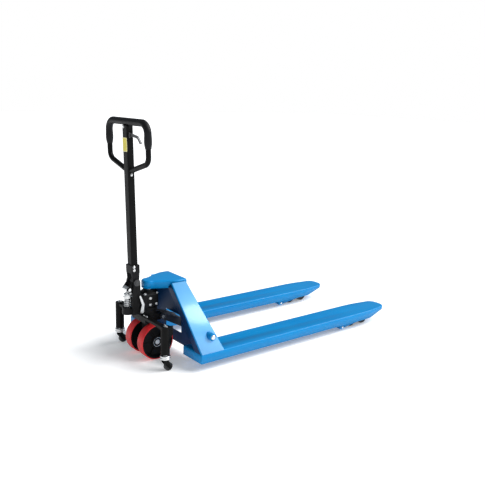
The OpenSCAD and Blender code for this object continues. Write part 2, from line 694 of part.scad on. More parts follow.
// One post with its beam half and curved web, on the right.
module beam_half() {
    x = post_span/2;
    difference() {
        union() {
            translate([x, post_y, post_foot]) cylinder(r = post_d/2, h = post_top - post_foot);
            difference() {
                translate([0, post_y - 14, ring_z + 18]) cube([x, 28, 12]);
                translate([0, steer_y, ring_z]) cylinder(r = ring_r + 0.2, h = 60, $fn = 72);
            }
            translate([x, post_y, post_foot + 34]) plate_x(-4, 4)
                polygon([[0, 0], [40, 60], [40, 100], [0, 100]]);
            translate([60, post_y - 4, post_top - 70]) rotate([90, 0, 0]) mirror([0, 0, 1])
                linear_extrude(8) polygon([[0, 54], [x - 60, 38], [x - 60, 66], [0, 66]]);
        }
        translate([x, post_y, post_foot - 1]) cylinder(r = stem_r + run, h = 80);
        translate([x, post_y, post_foot + 50]) cylinder(r = 15, h = post_top - post_foot - 56);
    }
}

module stabiliser_beam() color([0.13, 0.13, 0.14]) place() both() beam_half();

module beam_bolts() color("silver") place() both() {
    for (x = [28, 52]) translate([x, post_y, ring_z + 30]) bolt(5, 6);
    translate([post_span/2, post_y, post_top]) bolt(7, 8);
}

module post_spring(side) color("silver") place() translate([side*post_span/2, post_y, 0])
    coil(12, 1.6, post_foot + 66, post_top - 6, 5);

module post_spring_left() post_spring(-1);
module post_spring_right() post_spring(1);

module castor_stem(side) color("silver") place()
    translate([side*post_span/2, post_y, 0]) difference() {
    union() {
        translate([0, 0, collar_low])
            cylinder(r = collar_r, h = post_foot - gap - collar_low - castor_travel);
        translate([0, 0, collar_low]) cylinder(r = stem_r, h = post_foot + 62 - collar_low);
        translate([0, 0, post_foot + 62]) cylinder(r = 14, h = 4);
    }
    translate([0, 0, collar_low - 1]) cylinder(r = 6 + run, h = 30);
}

module castor_fork(side) color([0.13, 0.13, 0.14]) place()
    translate([side*post_span/2, post_y, 0]) difference() {
    union() {
        translate([0, 0, collar_low - 4 - gap]) cylinder(r = 17, h = 4);
        translate([0, 0, collar_low - 4]) cylinder(r = 6, h = 22);
        for (s = [-1, 1]) plate_x(s*(castor_w/2 + 3) - 2, s*(castor_w/2 + 3) + 2)
            link2d([0, collar_low - 14], 12, [castor_trail, castor_d/2], 8);
        translate([0, castor_trail, castor_d/2]) bar_x(4, -castor_w/2 - 5, castor_w/2 + 5);
    }
    translate([-30, -30, collar_low - gap]) difference() {
        cube([60, 60, 40]);
        translate([30, 30, -1]) cylinder(r = 6, h = 50);
    }
}

module castor_wheel(side) color([0.15, 0.15, 0.15]) place()
    translate([side*post_span/2, post_y + castor_trail, castor_d/2]) rotate([0, 90, 0])
        rotate_extrude() polygon([[4 + run, -castor_w/2], [castor_d/2 - 2, -castor_w/2],
            [castor_d/2, -castor_w/2 + 2], [castor_d/2, castor_w/2 - 2],
            [castor_d/2 - 2, castor_w/2], [4 + run, castor_w/2]]);

module castor_stem_left() castor_stem(-1);
module castor_stem_right() castor_stem(1);
module castor_fork_left() castor_fork(-1);
module castor_fork_right() castor_fork(1);
module castor_wheel_left() castor_wheel(-1);
module castor_wheel_right() castor_wheel(1);

carrier();
thrust_bearing();
link_pin();
stabiliser_beam();
beam_bolts();
post_spring_left();
post_spring_right();
fork_left();
fork_right();
chassis();
piston_seat();
rocker_pivots();
fork_lug_pins();
rocker();
rocker_pins();
push_rod_left();
push_rod_right();
load_lever_left();
load_lever_right();
lever_pins_left();
lever_pins_right();
bogie_left();
bogie_right();
roller_axles_left();
roller_axles_right();
roller_left_rear();
roller_left_front();
roller_right_rear();
roller_right_front();
pump_body();
reservoir();
steer_axle();
handle_bracket();
pump_screws();
lift_piston();
wheel_core_left();
wheel_core_right();
wheel_tread_left();
wheel_tread_right();
wheel_bearings_left();
wheel_bearings_right();
handle_base();
handle_shaft();
handle_loop();
handle_grip();
label_plate();
handle_pin();
handle_screws();
press_roller();
control_lever();
pump_plunger();
spring_cap();
pump_spring();
release_lever();
castor_stem_left();
castor_stem_right();
castor_fork_left();
castor_fork_right();
castor_wheel_left();
castor_wheel_right();
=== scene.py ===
# %% [markdown]
# # Hand pallet truck
#
# A hand pallet truck has two long steel forks on a welded frame, a hydraulic
# pump unit that steers it, and a tall loop handle.  This notebook puts the
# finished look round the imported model: pressed blue steel, black castings,
# zinc plated fittings, red polyurethane wheels and a rubber hand grip.

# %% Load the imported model
import json
import math

import bmesh
import bpy
from mathutils import Matrix, Vector

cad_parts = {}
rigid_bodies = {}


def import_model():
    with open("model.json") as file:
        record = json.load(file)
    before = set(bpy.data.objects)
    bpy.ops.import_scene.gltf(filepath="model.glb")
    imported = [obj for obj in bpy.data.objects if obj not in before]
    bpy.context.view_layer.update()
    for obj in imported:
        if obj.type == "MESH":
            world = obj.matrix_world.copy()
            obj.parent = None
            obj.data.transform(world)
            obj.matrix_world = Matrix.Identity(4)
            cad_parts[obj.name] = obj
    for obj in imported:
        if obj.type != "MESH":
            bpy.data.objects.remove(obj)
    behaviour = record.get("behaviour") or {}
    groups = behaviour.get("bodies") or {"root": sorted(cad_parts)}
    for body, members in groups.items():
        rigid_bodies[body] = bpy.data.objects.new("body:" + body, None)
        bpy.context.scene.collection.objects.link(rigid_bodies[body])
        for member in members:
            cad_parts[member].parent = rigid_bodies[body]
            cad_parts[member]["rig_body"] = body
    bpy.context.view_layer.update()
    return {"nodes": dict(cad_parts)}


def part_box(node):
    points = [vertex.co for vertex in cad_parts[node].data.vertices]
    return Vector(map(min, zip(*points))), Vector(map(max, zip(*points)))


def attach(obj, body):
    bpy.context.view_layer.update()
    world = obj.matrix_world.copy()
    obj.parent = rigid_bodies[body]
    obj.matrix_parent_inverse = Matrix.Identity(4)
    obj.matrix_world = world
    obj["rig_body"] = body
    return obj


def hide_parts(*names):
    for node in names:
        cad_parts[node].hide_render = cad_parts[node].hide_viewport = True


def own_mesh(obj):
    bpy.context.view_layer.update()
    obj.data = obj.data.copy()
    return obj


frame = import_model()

# %% [markdown]
# The truck is drawn in millimetres from the rear of its fork heels, because
# that is how the frame is set out in a workshop.  The model's own origin is in
# the middle of the footprint, so one offset along Y carries every piece over.

# %% Set out the truck
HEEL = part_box("fork_right")[1].y - 1.359
FORK_X, FORK_HALF, FORK_TOP, FORK_LOW = 262.5, 80, 88, 42
TIP, STEER_Y, AXLE_Z = 1359, -83, 90
ROCKER_Y, ROCKER_Z = 85, 152
HEAD_TOP, POST_X, POST_Y, POST_TOP = 394, 224, -128, 224
UP, ACROSS = (0, 0, 1), (1, 0, 0)


def at(x, y, z):
    return Vector((x / 1000, HEEL + y / 1000, z / 1000))


PIVOT_Y, PIVOT_Z = -172, 397
HANDLE = Matrix.Translation(at(0, PIVOT_Y, PIVOT_Z)) @ Matrix.Rotation(math.radians(1.9), 4, "X")
LOOP = 766
OPERATOR = HANDLE.to_3x3() @ Vector((0, -1, 0))


def along(x, y, z):
    return HANDLE @ Vector((x / 1000, y / 1000, z / 1000))


print("heel at", round(HEEL, 4), "m; top of the loop at", round(along(0, 0, LOOP).z, 3), "m")

# %% [markdown]
# ## Surface effects
#
# Several finishes share an effect: paint rubs through on edges, castings keep
# the grain of the sand, plating is cloudy and everything gathers some dust.
# Each effect could be copied into every material.  It is a node group instead,
# made once, with its strength and scale as inputs.

# %% Start a node group


def effect(name, inputs, outputs):
    tree = bpy.data.node_groups.new(name, "ShaderNodeTree")
    for label, value in inputs:
        kind = "NodeSocketColor" if isinstance(value, tuple) else "NodeSocketFloat"
        tree.interface.new_socket(label, in_out="INPUT", socket_type=kind).default_value = value
    for label, kind in outputs:
        tree.interface.new_socket(label, in_out="OUTPUT", socket_type="NodeSocket" + kind)
    return tree, tree.nodes.new("NodeGroupInput"), tree.nodes.new("NodeGroupOutput")


def node(tree, kind, **settings):
    made = tree.nodes.new("ShaderNode" + kind)
    for key, value in settings.items():
        if key in made.inputs:
            made.inputs[key].default_value = value
        else:
            setattr(made, key, value)
    return made


def noise(tree, scale, detail=3, stretch=None):
    place = node(tree, "TexCoord").outputs["Object"]
    if stretch:
        turn = node(tree, "Mapping")
        turn.inputs["Scale"].default_value = stretch
        tree.links.new(place, turn.inputs["Vector"])
        place = turn.outputs["Vector"]
    made = node(tree, "TexNoise", Scale=scale, Detail=detail)
    tree.links.new(place, made.inputs["Vector"])
    return made


def spread(tree, value, low, high, to_low=0.0, to_high=1.0):
    made = node(tree, "MapRange")
    for label, number in zip(("From Min", "From Max", "To Min", "To Max"), (low, high, to_low, to_high)):
        made.inputs[label].default_value = number
    tree.links.new(value, made.inputs["Value"])
    return made.outputs["Result"]


def times(tree, a, b):
    made = node(tree, "Math", operation="MULTIPLY")
    for socket, value in zip(made.inputs, (a, b)):
        if isinstance(value, (int, float)):
            socket.default_value = value
        else:
            tree.links.new(value, socket)
    return made.outputs["Value"]


# %% [markdown]
# Edge wear finds the edges by comparing the surface with a copy of itself whose
# edges are rounded.  Where the two directions differ there is an edge, and a
# noise breaks the line up so that only some of it is rubbed.

# %% Edge wear
tree, start, end = effect("edge_wear", [("Width", 0.003), ("Amount", 0.5)], [("Mask", "Float")])
rounded = node(tree, "Bevel", samples=4)
tree.links.new(start.outputs["Width"], rounded.inputs["Radius"])
facing = node(tree, "VectorMath", operation="DOT_PRODUCT")
tree.links.new(rounded.outputs["Normal"], facing.inputs[0])
tree.links.new(node(tree, "NewGeometry").outputs["Normal"], facing.inputs[1])
edge = spread(tree, facing.outputs["Value"], 0.99, 0.86)
patches = spread(tree, noise(tree, 70, 5).outputs["Fac"], 0.5, 0.62)
tree.links.new(times(tree, times(tree, edge, patches), start.outputs["Amount"]), end.inputs["Mask"])
EDGE_WEAR = tree

# %% [markdown]
# Sprayed paint and powder coat dry with a faint orange peel, castings keep a
# coarse grain, and rubber has a fine one.  All three are heights of noise at
# two scales, so one group serves them.

# %% Grain
tree, start, end = effect("grain", [("Coarse", 90.0), ("Fine", 600.0), ("Fine share", 0.4)],
                          [("Height", "Float")])
coarse, fine = noise(tree, 90, 2), noise(tree, 600, 2)
tree.links.new(start.outputs["Coarse"], coarse.inputs["Scale"])
tree.links.new(start.outputs["Fine"], fine.inputs["Scale"])
blend = node(tree, "Mix")
tree.links.new(start.outputs["Fine share"], blend.inputs["Factor"])
tree.links.new(coarse.outputs["Fac"], blend.inputs["A"])
tree.links.new(fine.outputs["Fac"], blend.inputs["B"])
tree.links.new(blend.outputs["Result"], end.inputs["Height"])
GRAIN = tree

# %% Dust on upward faces
tree, start, end = effect("dust", [("Amount", 0.2)], [("Mask", "Float")])
split = node(tree, "SeparateXYZ")
tree.links.new(node(tree, "NewGeometry").outputs["Normal"], split.inputs["Vector"])
upward = spread(tree, split.outputs["Z"], 0.3, 1.0)
clouds = spread(tree, noise(tree, 9, 6).outputs["Fac"], 0.42, 0.68)
tree.links.new(times(tree, times(tree, upward, clouds), start.outputs["Amount"]), end.inputs["Mask"])
DUST = tree

# %% Mottle, the slow change of tone in plating, rubber and thick paint
tree, start, end = effect("mottle", [("Scale", 14.0), ("Low", 0.8), ("High", 1.1)], [("Value", "Float")])
tone = noise(tree, 14, 4)
tree.links.new(start.outputs["Scale"], tone.inputs["Scale"])
level = node(tree, "MapRange")
level.inputs["From Min"].default_value, level.inputs["From Max"].default_value = 0.3, 0.7
tree.links.new(tone.outputs["Fac"], level.inputs["Value"])
tree.links.new(start.outputs["Low"], level.inputs["To Min"])
tree.links.new(start.outputs["High"], level.inputs["To Max"])
tree.links.new(level.outputs["Result"], end.inputs["Value"])
MOTTLE = tree
print("effects", [g.name for g in bpy.data.node_groups])

# %% [markdown]
# ## Finishes
#
# One helper builds the common stack: a base colour that varies slowly, a worn
# colour on the edges, dust on top, roughness that follows the same variation
# and a bump from the grain.  Uniform numbers go straight on the shader.

# %% The finish helper


def place_group(tree, group, **values):
    made = tree.nodes.new("ShaderNodeGroup")
    made.node_tree = group
    for label, value in values.items():
        made.inputs[label.replace("_", " ")].default_value = value
    return made


def over(tree, mask, below, above):
    made = node(tree, "Mix", data_type="RGBA")
    for socket, value in ((0, mask), (6, below), (7, above)):
        if isinstance(value, (tuple, float)):
            made.inputs[socket].default_value = value
        else:
            tree.links.new(value, made.inputs[socket])
    return made.outputs[2]


def finish(name, colour, second, roughness, grain, bump, wear=None, dust=0.0, mottle=14.0, **shader):
    made = bpy.data.materials.new(name)
    made.use_nodes = True
    tree = made.node_tree
    surface = tree.nodes["Principled BSDF"]
    for label, value in shader.items():
        surface.inputs[label.replace("_", " ")].default_value = value
    tone = place_group(tree, MOTTLE, Scale=mottle, Low=0.0, High=1.0).outputs["Value"]
    paint = over(tree, tone, (*colour, 1), (*second, 1))
    rough = spread(tree, tone, 0.0, 1.0, *roughness)
    if wear:
        worn = place_group(tree, EDGE_WEAR, Width=wear[0], Amount=wear[1]).outputs["Mask"]
        paint = over(tree, worn, paint, (*wear[2], 1))
    if dust:
        mask = place_group(tree, DUST, Amount=dust).outputs["Mask"]
        paint = over(tree, mask, paint, (0.42, 0.41, 0.38, 1))
        lift = node(tree, "Math", operation="ADD", use_clamp=True)
        tree.links.new(rough, lift.inputs[0])
        tree.links.new(mask, lift.inputs[1])
        rough = lift.outputs["Value"]
    tree.links.new(paint, surface.inputs["Base Color"])
    tree.links.new(rough, surface.inputs["Roughness"])
    height = place_group(tree, GRAIN, Coarse=grain[0], Fine=grain[1], Fine_share=grain[2])
    relief = node(tree, "Bump", Strength=bump, Distance=0.0006)
    tree.links.new(height.outputs["Height"], relief.inputs["Height"])
    tree.links.new(relief.outputs["Normal"], surface.inputs["Normal"])
    return made


# %% [markdown]
# The frame is a saturated mid blue enamel.  The broad outer faces of the side
# plates get a paler blue with a glossier coat; the paler blue is a painted
# sheen for the key light's reflection.  The bulkhead, its ledge and the folds of
# the side plates get a much darker blue, which is painted shade.  The handle,
# beam and castings are black, the wheels are cast red polyurethane on black
# cores, and most fittings are bright zinc.
#
# Each finish is two colours that it drifts between, a range of roughness, the
# grain (coarse scale, fine scale, share of the fine one) and how deep it looks.
# Edge wear is a width in metres, an amount and the colour that shows through.

# %% Blue, black and dark steel finishes
SPRAYED = (240.0, 900.0, 0.3)
STEEL_GREY = (0.30, 0.31, 0.33)
BLUE = finish("blue_enamel", (0.0, 0.205, 0.52), (0.0, 0.235, 0.56), (0.34, 0.46), SPRAYED, 0.05,
              wear=(0.0015, 0.25, (0.05, 0.24, 0.46)), dust=0.01, mottle=6.0,
              Coat_Weight=0.1, Coat_Roughness=0.2, Specular_IOR_Level=0.15)
# painted shade: a very dark blue for the bulkhead, its ledge and the side plates' folds, where shade falls
PAINTED_SHADE_BLUE = finish("blue_enamel_painted_shade", (0.0, 0.030, 0.110), (0.0, 0.042, 0.140), (0.40, 0.52),
                     SPRAYED, 0.05, mottle=6.0, Specular_IOR_Level=0.2)
# painted sheen: this paler blue stands in for the key light's reflection on the side plates' outer faces
PAINTED_SHEEN_BLUE = finish("blue_enamel_painted_sheen", (0.10, 0.40, 0.78), (0.16, 0.47, 0.84), (0.30, 0.42),
                   SPRAYED, 0.05, wear=(0.0015, 0.25, (0.10, 0.22, 0.42)), dust=0.02, mottle=3.0,
                   Coat_Weight=0.5, Coat_Roughness=0.2, Specular_IOR_Level=0.5)
POWDER = finish("black_powder_coat", (0.003, 0.003, 0.003), (0.006, 0.006, 0.006), (0.30, 0.42),
                (260.0, 900.0, 0.5), 0.10, wear=(0.0012, 0.2, (0.03, 0.03, 0.03)),
                Specular_IOR_Level=0.08)
CASTING = finish("black_casting", (0.003, 0.003, 0.003), (0.009, 0.009, 0.010), (0.40, 0.58),
                 (220.0, 700.0, 0.55), 0.55, wear=(0.002, 0.35, (0.06, 0.06, 0.06)), dust=0.01,
                 Specular_IOR_Level=0.14)
LINKS = finish("dark_links", (0.012, 0.016, 0.028), (0.020, 0.026, 0.040), (0.45, 0.6),
               (200.0, 700.0, 0.5), 0.25, wear=(0.0015, 0.3, STEEL_GREY), dust=0.08)
OILED = finish("oiled_steel", (0.030, 0.030, 0.032), (0.060, 0.060, 0.062), (0.30, 0.45),
               (160.0, 900.0, 0.5), 0.10, mottle=60.0, Specular_IOR_Level=0.4)

# %% Plated, moulded and printed finishes
ZINC = finish("bright_zinc", (0.62, 0.63, 0.64), (0.80, 0.80, 0.79), (0.20, 0.38),
              (160.0, 900.0, 0.5), 0.10, mottle=60.0, Metallic=1.0)
CHROME = finish("hard_chrome", (0.72, 0.73, 0.75), (0.78, 0.78, 0.80), (0.06, 0.14),
                (40.0, 1200.0, 0.5), 0.02, mottle=30.0, Metallic=1.0)
TREAD = finish("red_polyurethane", (0.62, 0.012, 0.016), (0.78, 0.022, 0.026), (0.34, 0.50),
               (120.0, 500.0, 0.5), 0.12, wear=(0.002, 0.3, (0.42, 0.03, 0.03)), dust=0.04,
               mottle=20.0)
CORE = finish("wheel_core_black", (0.003, 0.003, 0.003), (0.007, 0.007, 0.008), (0.36, 0.50),
              (150.0, 600.0, 0.6), 0.2, dust=0.01, Specular_IOR_Level=0.1)
ROLLER = finish("roller_nylon", (0.012, 0.012, 0.013), (0.022, 0.022, 0.023), (0.38, 0.55),
                (140.0, 700.0, 0.5), 0.2, wear=(0.002, 0.4, (0.06, 0.06, 0.06)), dust=0.08)
RUBBER = finish("grip_rubber", (0.006, 0.006, 0.007), (0.011, 0.011, 0.012), (0.36, 0.52),
                (180.0, 1100.0, 0.6), 0.18, mottle=10.0, Specular_IOR_Level=0.14)
LEVER = finish("lever_plastic", (0.030, 0.030, 0.032), (0.045, 0.045, 0.047), (0.40, 0.5),
               (120.0, 900.0, 0.5), 0.1)
LEVER_TIP = finish("lever_tip_grey", (0.19, 0.19, 0.20), (0.24, 0.24, 0.25), (0.38, 0.5),
                   (120.0, 900.0, 0.5), 0.1)
LABEL = finish("label_yellow", (0.62, 0.52, 0.04), (0.70, 0.60, 0.07), (0.35, 0.45),
               (60.0, 600.0, 0.3), 0.03, mottle=40.0)
LABEL_EDGE = finish("label_pale", (0.80, 0.74, 0.34), (0.86, 0.80, 0.44), (0.35, 0.45),
                    (60.0, 600.0, 0.3), 0.03)

# %% The finish and the model's slot that go with each name
PAINTS = {
    # the second blue here is painted shade: a darker copy of the blue enamel
    "blue": (BLUE, "blue_paint"), "painted_shade": (PAINTED_SHADE_BLUE, "blue_paint"),
    "powder": (POWDER, "black_paint"), "casting": (CASTING, "black_casting"),
    "links": (LINKS, "black_casting"), "zinc": (ZINC, "zinc"), "oiled": (OILED, "zinc"),
    "chrome": (CHROME, "chrome"), "tread": (TREAD, "red_tread"), "core": (CORE, "wheel_black"),
    "roller": (ROLLER, "roller_black"), "rubber": (RUBBER, "grip_rubber"),
    "lever": (LEVER, "lever_plastic"), "label": (LABEL, "label_yellow"),
}
print(len(bpy.data.materials), "finishes")

# %% [markdown]
# ## Shaping helpers
#
# Sheet metal starts as one flat face.  Its corners are rounded by a vertex
# bevel, its walls are pulled out of its edges, and a Solidify gives the sheet
# its thickness last.  Pins, wheels and collars are turned: a half profile spun
# round its axis.  Bars and tubes are a line given a round section.

# %% Finish a mesh as a piece on a body


def piece(bm, name, paint, body, replaces=(), smooth=35, extra=()):
    mesh = bpy.data.meshes.new(name)
    bm.to_mesh(mesh)
    bm.free()
    made = bpy.data.objects.new(name, mesh)
    bpy.context.scene.collection.objects.link(made)
    for material in (PAINTS[paint][0], *extra):
        mesh.materials.append(material)
    mesh.shade_smooth()
    mesh.set_sharp_from_angle(angle=math.radians(smooth))
    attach(made, body)
    if replaces:
        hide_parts(*replaces)
    print(name + ":", len(mesh.polygons), "faces, rides on", body)
    return made


def bevelled(made, width, segments=2, angle=32):
    step = made.modifiers.new("rounded edges", "BEVEL")
    step.width, step.segments, step.limit_method = width / 1000, segments, "ANGLE"
    step.angle_limit, step.harden_normals = math.radians(angle), True
    return made


def thickened(made, thick):
    step = made.modifiers.new("sheet", "SOLIDIFY")
    step.thickness, step.offset, step.use_even_offset = thick / 1000, -1, True
    return made


# %% Flat faces, slabs and round corners


def flat(bm, points):
    return bm.faces.new([bm.verts.new(p) for p in points])


def carry(bm, made, move):
    """Moves the points that an extrusion made."""
    bmesh.ops.translate(bm, vec=move, verts=[v for v in made if isinstance(v, bmesh.types.BMVert)])


def pulled(bm, faces, move):
    carry(bm, bmesh.ops.extrude_face_region(bm, geom=faces)["geom"], move)


def walls(bm, edges, move):
    """Folds a wall out of each edge."""
    carry(bm, bmesh.ops.extrude_edge_only(bm, edges=edges)["geom"], move)


def facing_up(bm):
    """Turns a pressing's faces so that its broad top faces up."""
    bmesh.ops.recalc_face_normals(bm, faces=bm.faces[:])
    if max(bm.faces, key=lambda f: f.calc_area()).normal.z < 0:
        bmesh.ops.reverse_faces(bm, faces=bm.faces[:])


def cut(bm, place, normal, clear=False, faces=None):
    """Cuts all of a mesh, or only some faces, along a plane."""
    geom = bm.verts[:] + bm.edges[:] + bm.faces[:]
    if faces is not None:
        geom = faces + list({e for f in faces for e in f.edges}) + list({v for f in faces for v in f.verts})
    bmesh.ops.bisect_plane(bm, geom=geom, plane_co=place, plane_no=normal, clear_outer=clear)


def round_corners(bm, corners, radius, segments=8):
    """Rounds the corners of a flat face, seen from above."""
    found = [v for v in bm.verts if any((v.co - c).length < 1e-5 for c in corners)]
    bmesh.ops.bevel(bm, geom=found, offset=radius / 1000, offset_type="OFFSET", segments=segments,
                    profile=0.5,
                    affect="VERTICES", material=-1)


def round_edges(bm, test, radius, segments=4):
    found = [e for e in bm.edges if test(e)]
    bmesh.ops.bevel(bm, geom=found, offset=radius / 1000, offset_type="OFFSET", segments=segments,
                    profile=0.5,
                    affect="EDGES", material=-1)
    return len(found)


def slab(points, move, rounded=(), radius=4, segments=6):
    """A plate: a flat outline, some of its corners rounded, pulled to its thickness."""
    bm = bmesh.new()
    flat(bm, points)
    if rounded:
        round_corners(bm, [points[i] for i in rounded], radius, segments)
    pulled(bm, bm.faces[:], move)
    bmesh.ops.recalc_face_normals(bm, faces=bm.faces[:])
    return bm


# %% Turned pieces and joining


def turned(profile, steps=64, closed=False):
    bm = bmesh.new()
    line = [bm.verts.new((r / 1000, 0, h / 1000)) for r, h in profile]
    edges = [bm.edges.new(pair) for pair in zip(line, line[1:] + (line[:1] if closed else []))]
    bmesh.ops.spin(bm, geom=line + edges, cent=(0, 0, 0), axis=(0, 0, 1), angle=math.tau, steps=steps,
                   use_merge=True)
    bmesh.ops.remove_doubles(bm, verts=bm.verts[:], dist=1e-6)
    bmesh.ops.recalc_face_normals(bm, faces=bm.faces[:])
    return bm


def both_halves(half, shared=False):
    """A profile's lower half and its mirror image; the middle point may be shared."""
    return half + [(r, -h) for r, h in (half[-2::-1] if shared else half[::-1])]


def joined(*parts):
    bm = bmesh.new()
    for part, place, material in parts:
        bmesh.ops.transform(part, matrix=place, verts=part.verts[:])
        for face in part.faces:
            face.material_index = material
        held = bpy.data.meshes.new("held")
        part.to_mesh(held)
        part.free()
        bm.from_mesh(held)
        bpy.data.meshes.remove(held)
    return bm


def toward(point, direction, turn=0.0):
    """Places a shape that stands on Z so that it stands at a point along a direction."""
    aim = Vector(direction).to_track_quat("Z", "Y").to_matrix().to_4x4()
    return Matrix.Translation(point) @ aim @ Matrix.Rotation(turn, 4, "Z")


def pin(radius, length, chamfer=1.0):
    """A turned pin, centred, with chamfered ends."""
    h = length / 2
    return turned([(0, -h), (radius - chamfer, -h), (radius, chamfer - h), (radius, h - chamfer),
                   (radius - chamfer, h), (0, h)], 40)


def hex_bolt(radius, height):
    """A washer and a hexagon head whose top corners are chamfered."""
    rim = radius * 1.5
    washer = turned([(0, 0), (rim, 0), (rim, height * 0.18), (radius * 1.42, height * 0.25),
                     (0, height * 0.25)], 32)
    head = bmesh.new()
    bmesh.ops.create_cone(head, cap_ends=True, segments=6, radius1=radius / 1000, radius2=radius / 1000,
                          depth=height * 0.75 / 1000)
    top = [f for f in head.faces if f.normal.z > 0.9]
    bmesh.ops.inset_region(head, faces=top, thickness=radius * 0.16 / 1000, depth=0)
    crown = {v for f in top for v in f.verts}
    for v in head.verts:
        if v.co.z > 0 and v not in crown:
            v.co.z -= height * 0.12 / 1000
    return joined((washer, Matrix(), 0), (head, Matrix.Translation((0, 0, height * 0.6 / 1000)), 0))


# %% Bars and tubes along a line


def swept(points, radius, radii=None, resolution=6):
    curve = bpy.data.curves.new("line", "CURVE")
    curve.dimensions = "3D"
    spline = curve.splines.new("POLY")
    spline.points.add(len(points) - 1)
    for i, (stop, co) in enumerate(zip(spline.points, points)):
        stop.co = (*co, 1)
        stop.radius = radii[i] if radii else 1
    curve.bevel_depth, curve.bevel_resolution, curve.use_fill_caps = radius / 1000, resolution, True
    holder = bpy.data.objects.new("line", curve)
    mesh = bpy.data.meshes.new_from_object(holder)
    bm = bmesh.new()
    bm.from_mesh(mesh)
    bmesh.ops.remove_doubles(bm, verts=bm.verts[:], dist=1e-6)
    bmesh.ops.recalc_face_normals(bm, faces=bm.faces[:])
    bpy.data.objects.remove(holder)
    bpy.data.curves.remove(curve)
    bpy.data.meshes.remove(mesh)
    return bm


def weld(points, radius=2.6, seed=0.0):
    """A weld bead: a line whose width ripples as the welder's hand moved."""
    start, stop = points
    count = max(8, int((stop - start).length / 0.0035))
    steps = [start.lerp(stop, i / count) for i in range(count + 1)]
    ripple = [1 + 0.16 * math.sin(i * 2.1 + seed) + 0.10 * math.sin(i * 0.7 + 2 * seed)
              for i in range(count + 1)]
    return swept(steps, radius, ripple, 3)


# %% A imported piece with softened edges


def softened(name, paint, width=0.6, segments=2, angle=32):
    source = frame["nodes"][name]
    bm = bmesh.new()
    bm.from_mesh(source.data)
    bmesh.ops.remove_doubles(bm, verts=bm.verts[:], dist=1e-6)
    bmesh.ops.dissolve_limit(bm, angle_limit=math.radians(0.5), verts=bm.verts[:], edges=bm.edges[:])
    made = piece(bm, name + "_finished", paint, source["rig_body"], (name,), smooth=angle)
    return bevelled(made, width, segments, angle)


def each_side():
    return (("left", -1), ("right", 1))


# %% [markdown]
# ## Forks
#
# Each fork is pressed from one sheet: a flat top, walls folded down round the
# sides and a rounded, tapered tip.  The heel under the side plate is the same
# channel, with a slot for the push rod.  A box would have hard corners, so the
# sheet is folded here as it is in the press.

# %% Fold a fork


def fork_shell(side):
    w, nose, x = FORK_HALF, FORK_HALF - 18, side * FORK_X
    plan = [at(x + dx, y, FORK_TOP) for dx, y in ((-w, 0), (w, 0), (w, 1189), (nose, 1309), (nose, TIP),
                                                   (-nose, TIP), (-nose, 1309), (-w, 1189))]
    bm = bmesh.new()
    flat(bm, plan)
    round_corners(bm, [plan[4], plan[5]], 49.5, 14)
    round_corners(bm, [plan[2], plan[7]], 60, 6)
    rim = [e for e in bm.edges if e.is_boundary]
    walls(bm, rim, (0, 0, (FORK_LOW - FORK_TOP) / 1000))
    facing_up(bm)
    top = FORK_TOP / 1000 - 1e-5
    round_edges(bm, lambda e: (abs(e.verts[0].co.z - e.verts[1].co.z) > 0.02
                               and e.verts[0].co.y < HEEL + 1e-4), 4, 3)
    round_edges(bm, lambda e: len(e.link_faces) == 2 and min(v.co.z for v in e.verts) > top, 6, 4)
    # the underside rises to a thin tip
    slope_from, slope_to = at(0, 1207, FORK_LOW), at(0, TIP, 76)
    run = slope_to - slope_from
    cut(bm, slope_from, (0, run.z, -run.y), clear=True)
    # the slot for the rocker's arm
    for place, normal in ((at(x - 20, 0, 0), ACROSS), (at(x + 20, 0, 0), ACROSS),
                          (at(0, 24, 0), (0, 1, 0)), (at(0, 135, 0), (0, 1, 0))):
        cut(bm, place, normal, faces=[f for f in bm.faces
                                      if f.normal.z > 0.99 and f.calc_center_median().z > top])
    middle = at(x, 80, FORK_TOP)
    slot = [f for f in bm.faces if (f.calc_center_median() - middle).length < 0.012 and f.normal.z > 0.99]
    bmesh.ops.delete(bm, geom=slot, context="FACES")
    return bm


for hand, side in each_side():
    shell = piece(fork_shell(side), "fork_shell_" + hand, "blue", "lifting_frame", ("fork_" + hand,),
                  smooth=40)
    thickened(shell, 4)

# %% [markdown]
# Under each fork two lugs carry the pivot of the load lever.  They are plain
# flame-cut plates with a round foot, welded inside the channel.

# %% Lugs and their pivots
LUG_Y, LUG_Z = 992, 20
for hand, side in each_side():
    parts = []
    for inner in (-58, 50):
        x = side * FORK_X + inner
        points = [at(x, LUG_Y - 32, 84), at(x, LUG_Y - 12, LUG_Z - 12), at(x, LUG_Y + 12, LUG_Z - 12),
                  at(x, LUG_Y + 12, 84)]
        parts.append((slab(points, (0.008, 0, 0), (1, 2), 10, 8), Matrix(), 0))
    bevelled(piece(joined(*parts), "fork_lugs_" + hand, "blue", "lifting_frame"), 0.6)
softened("fork_lug_pins", "zinc", 0.8)

# %% [markdown]
# ## Side plates, head and bulkhead
#
# A leaning plate on each side ties the forks to the head.  Its front and rear
# edges are folded inwards, which is what makes it stiff, so the fold is modelled
# and rounded.  The head is a pressed cap with a wide soft edge and a round nose
# over the steering axis.

# %% Side plates
FOOT_X, TOP_X, TOP_Z = 342.5, 98, 385
FOOT, FRONT, REAR = 139, -16, 71


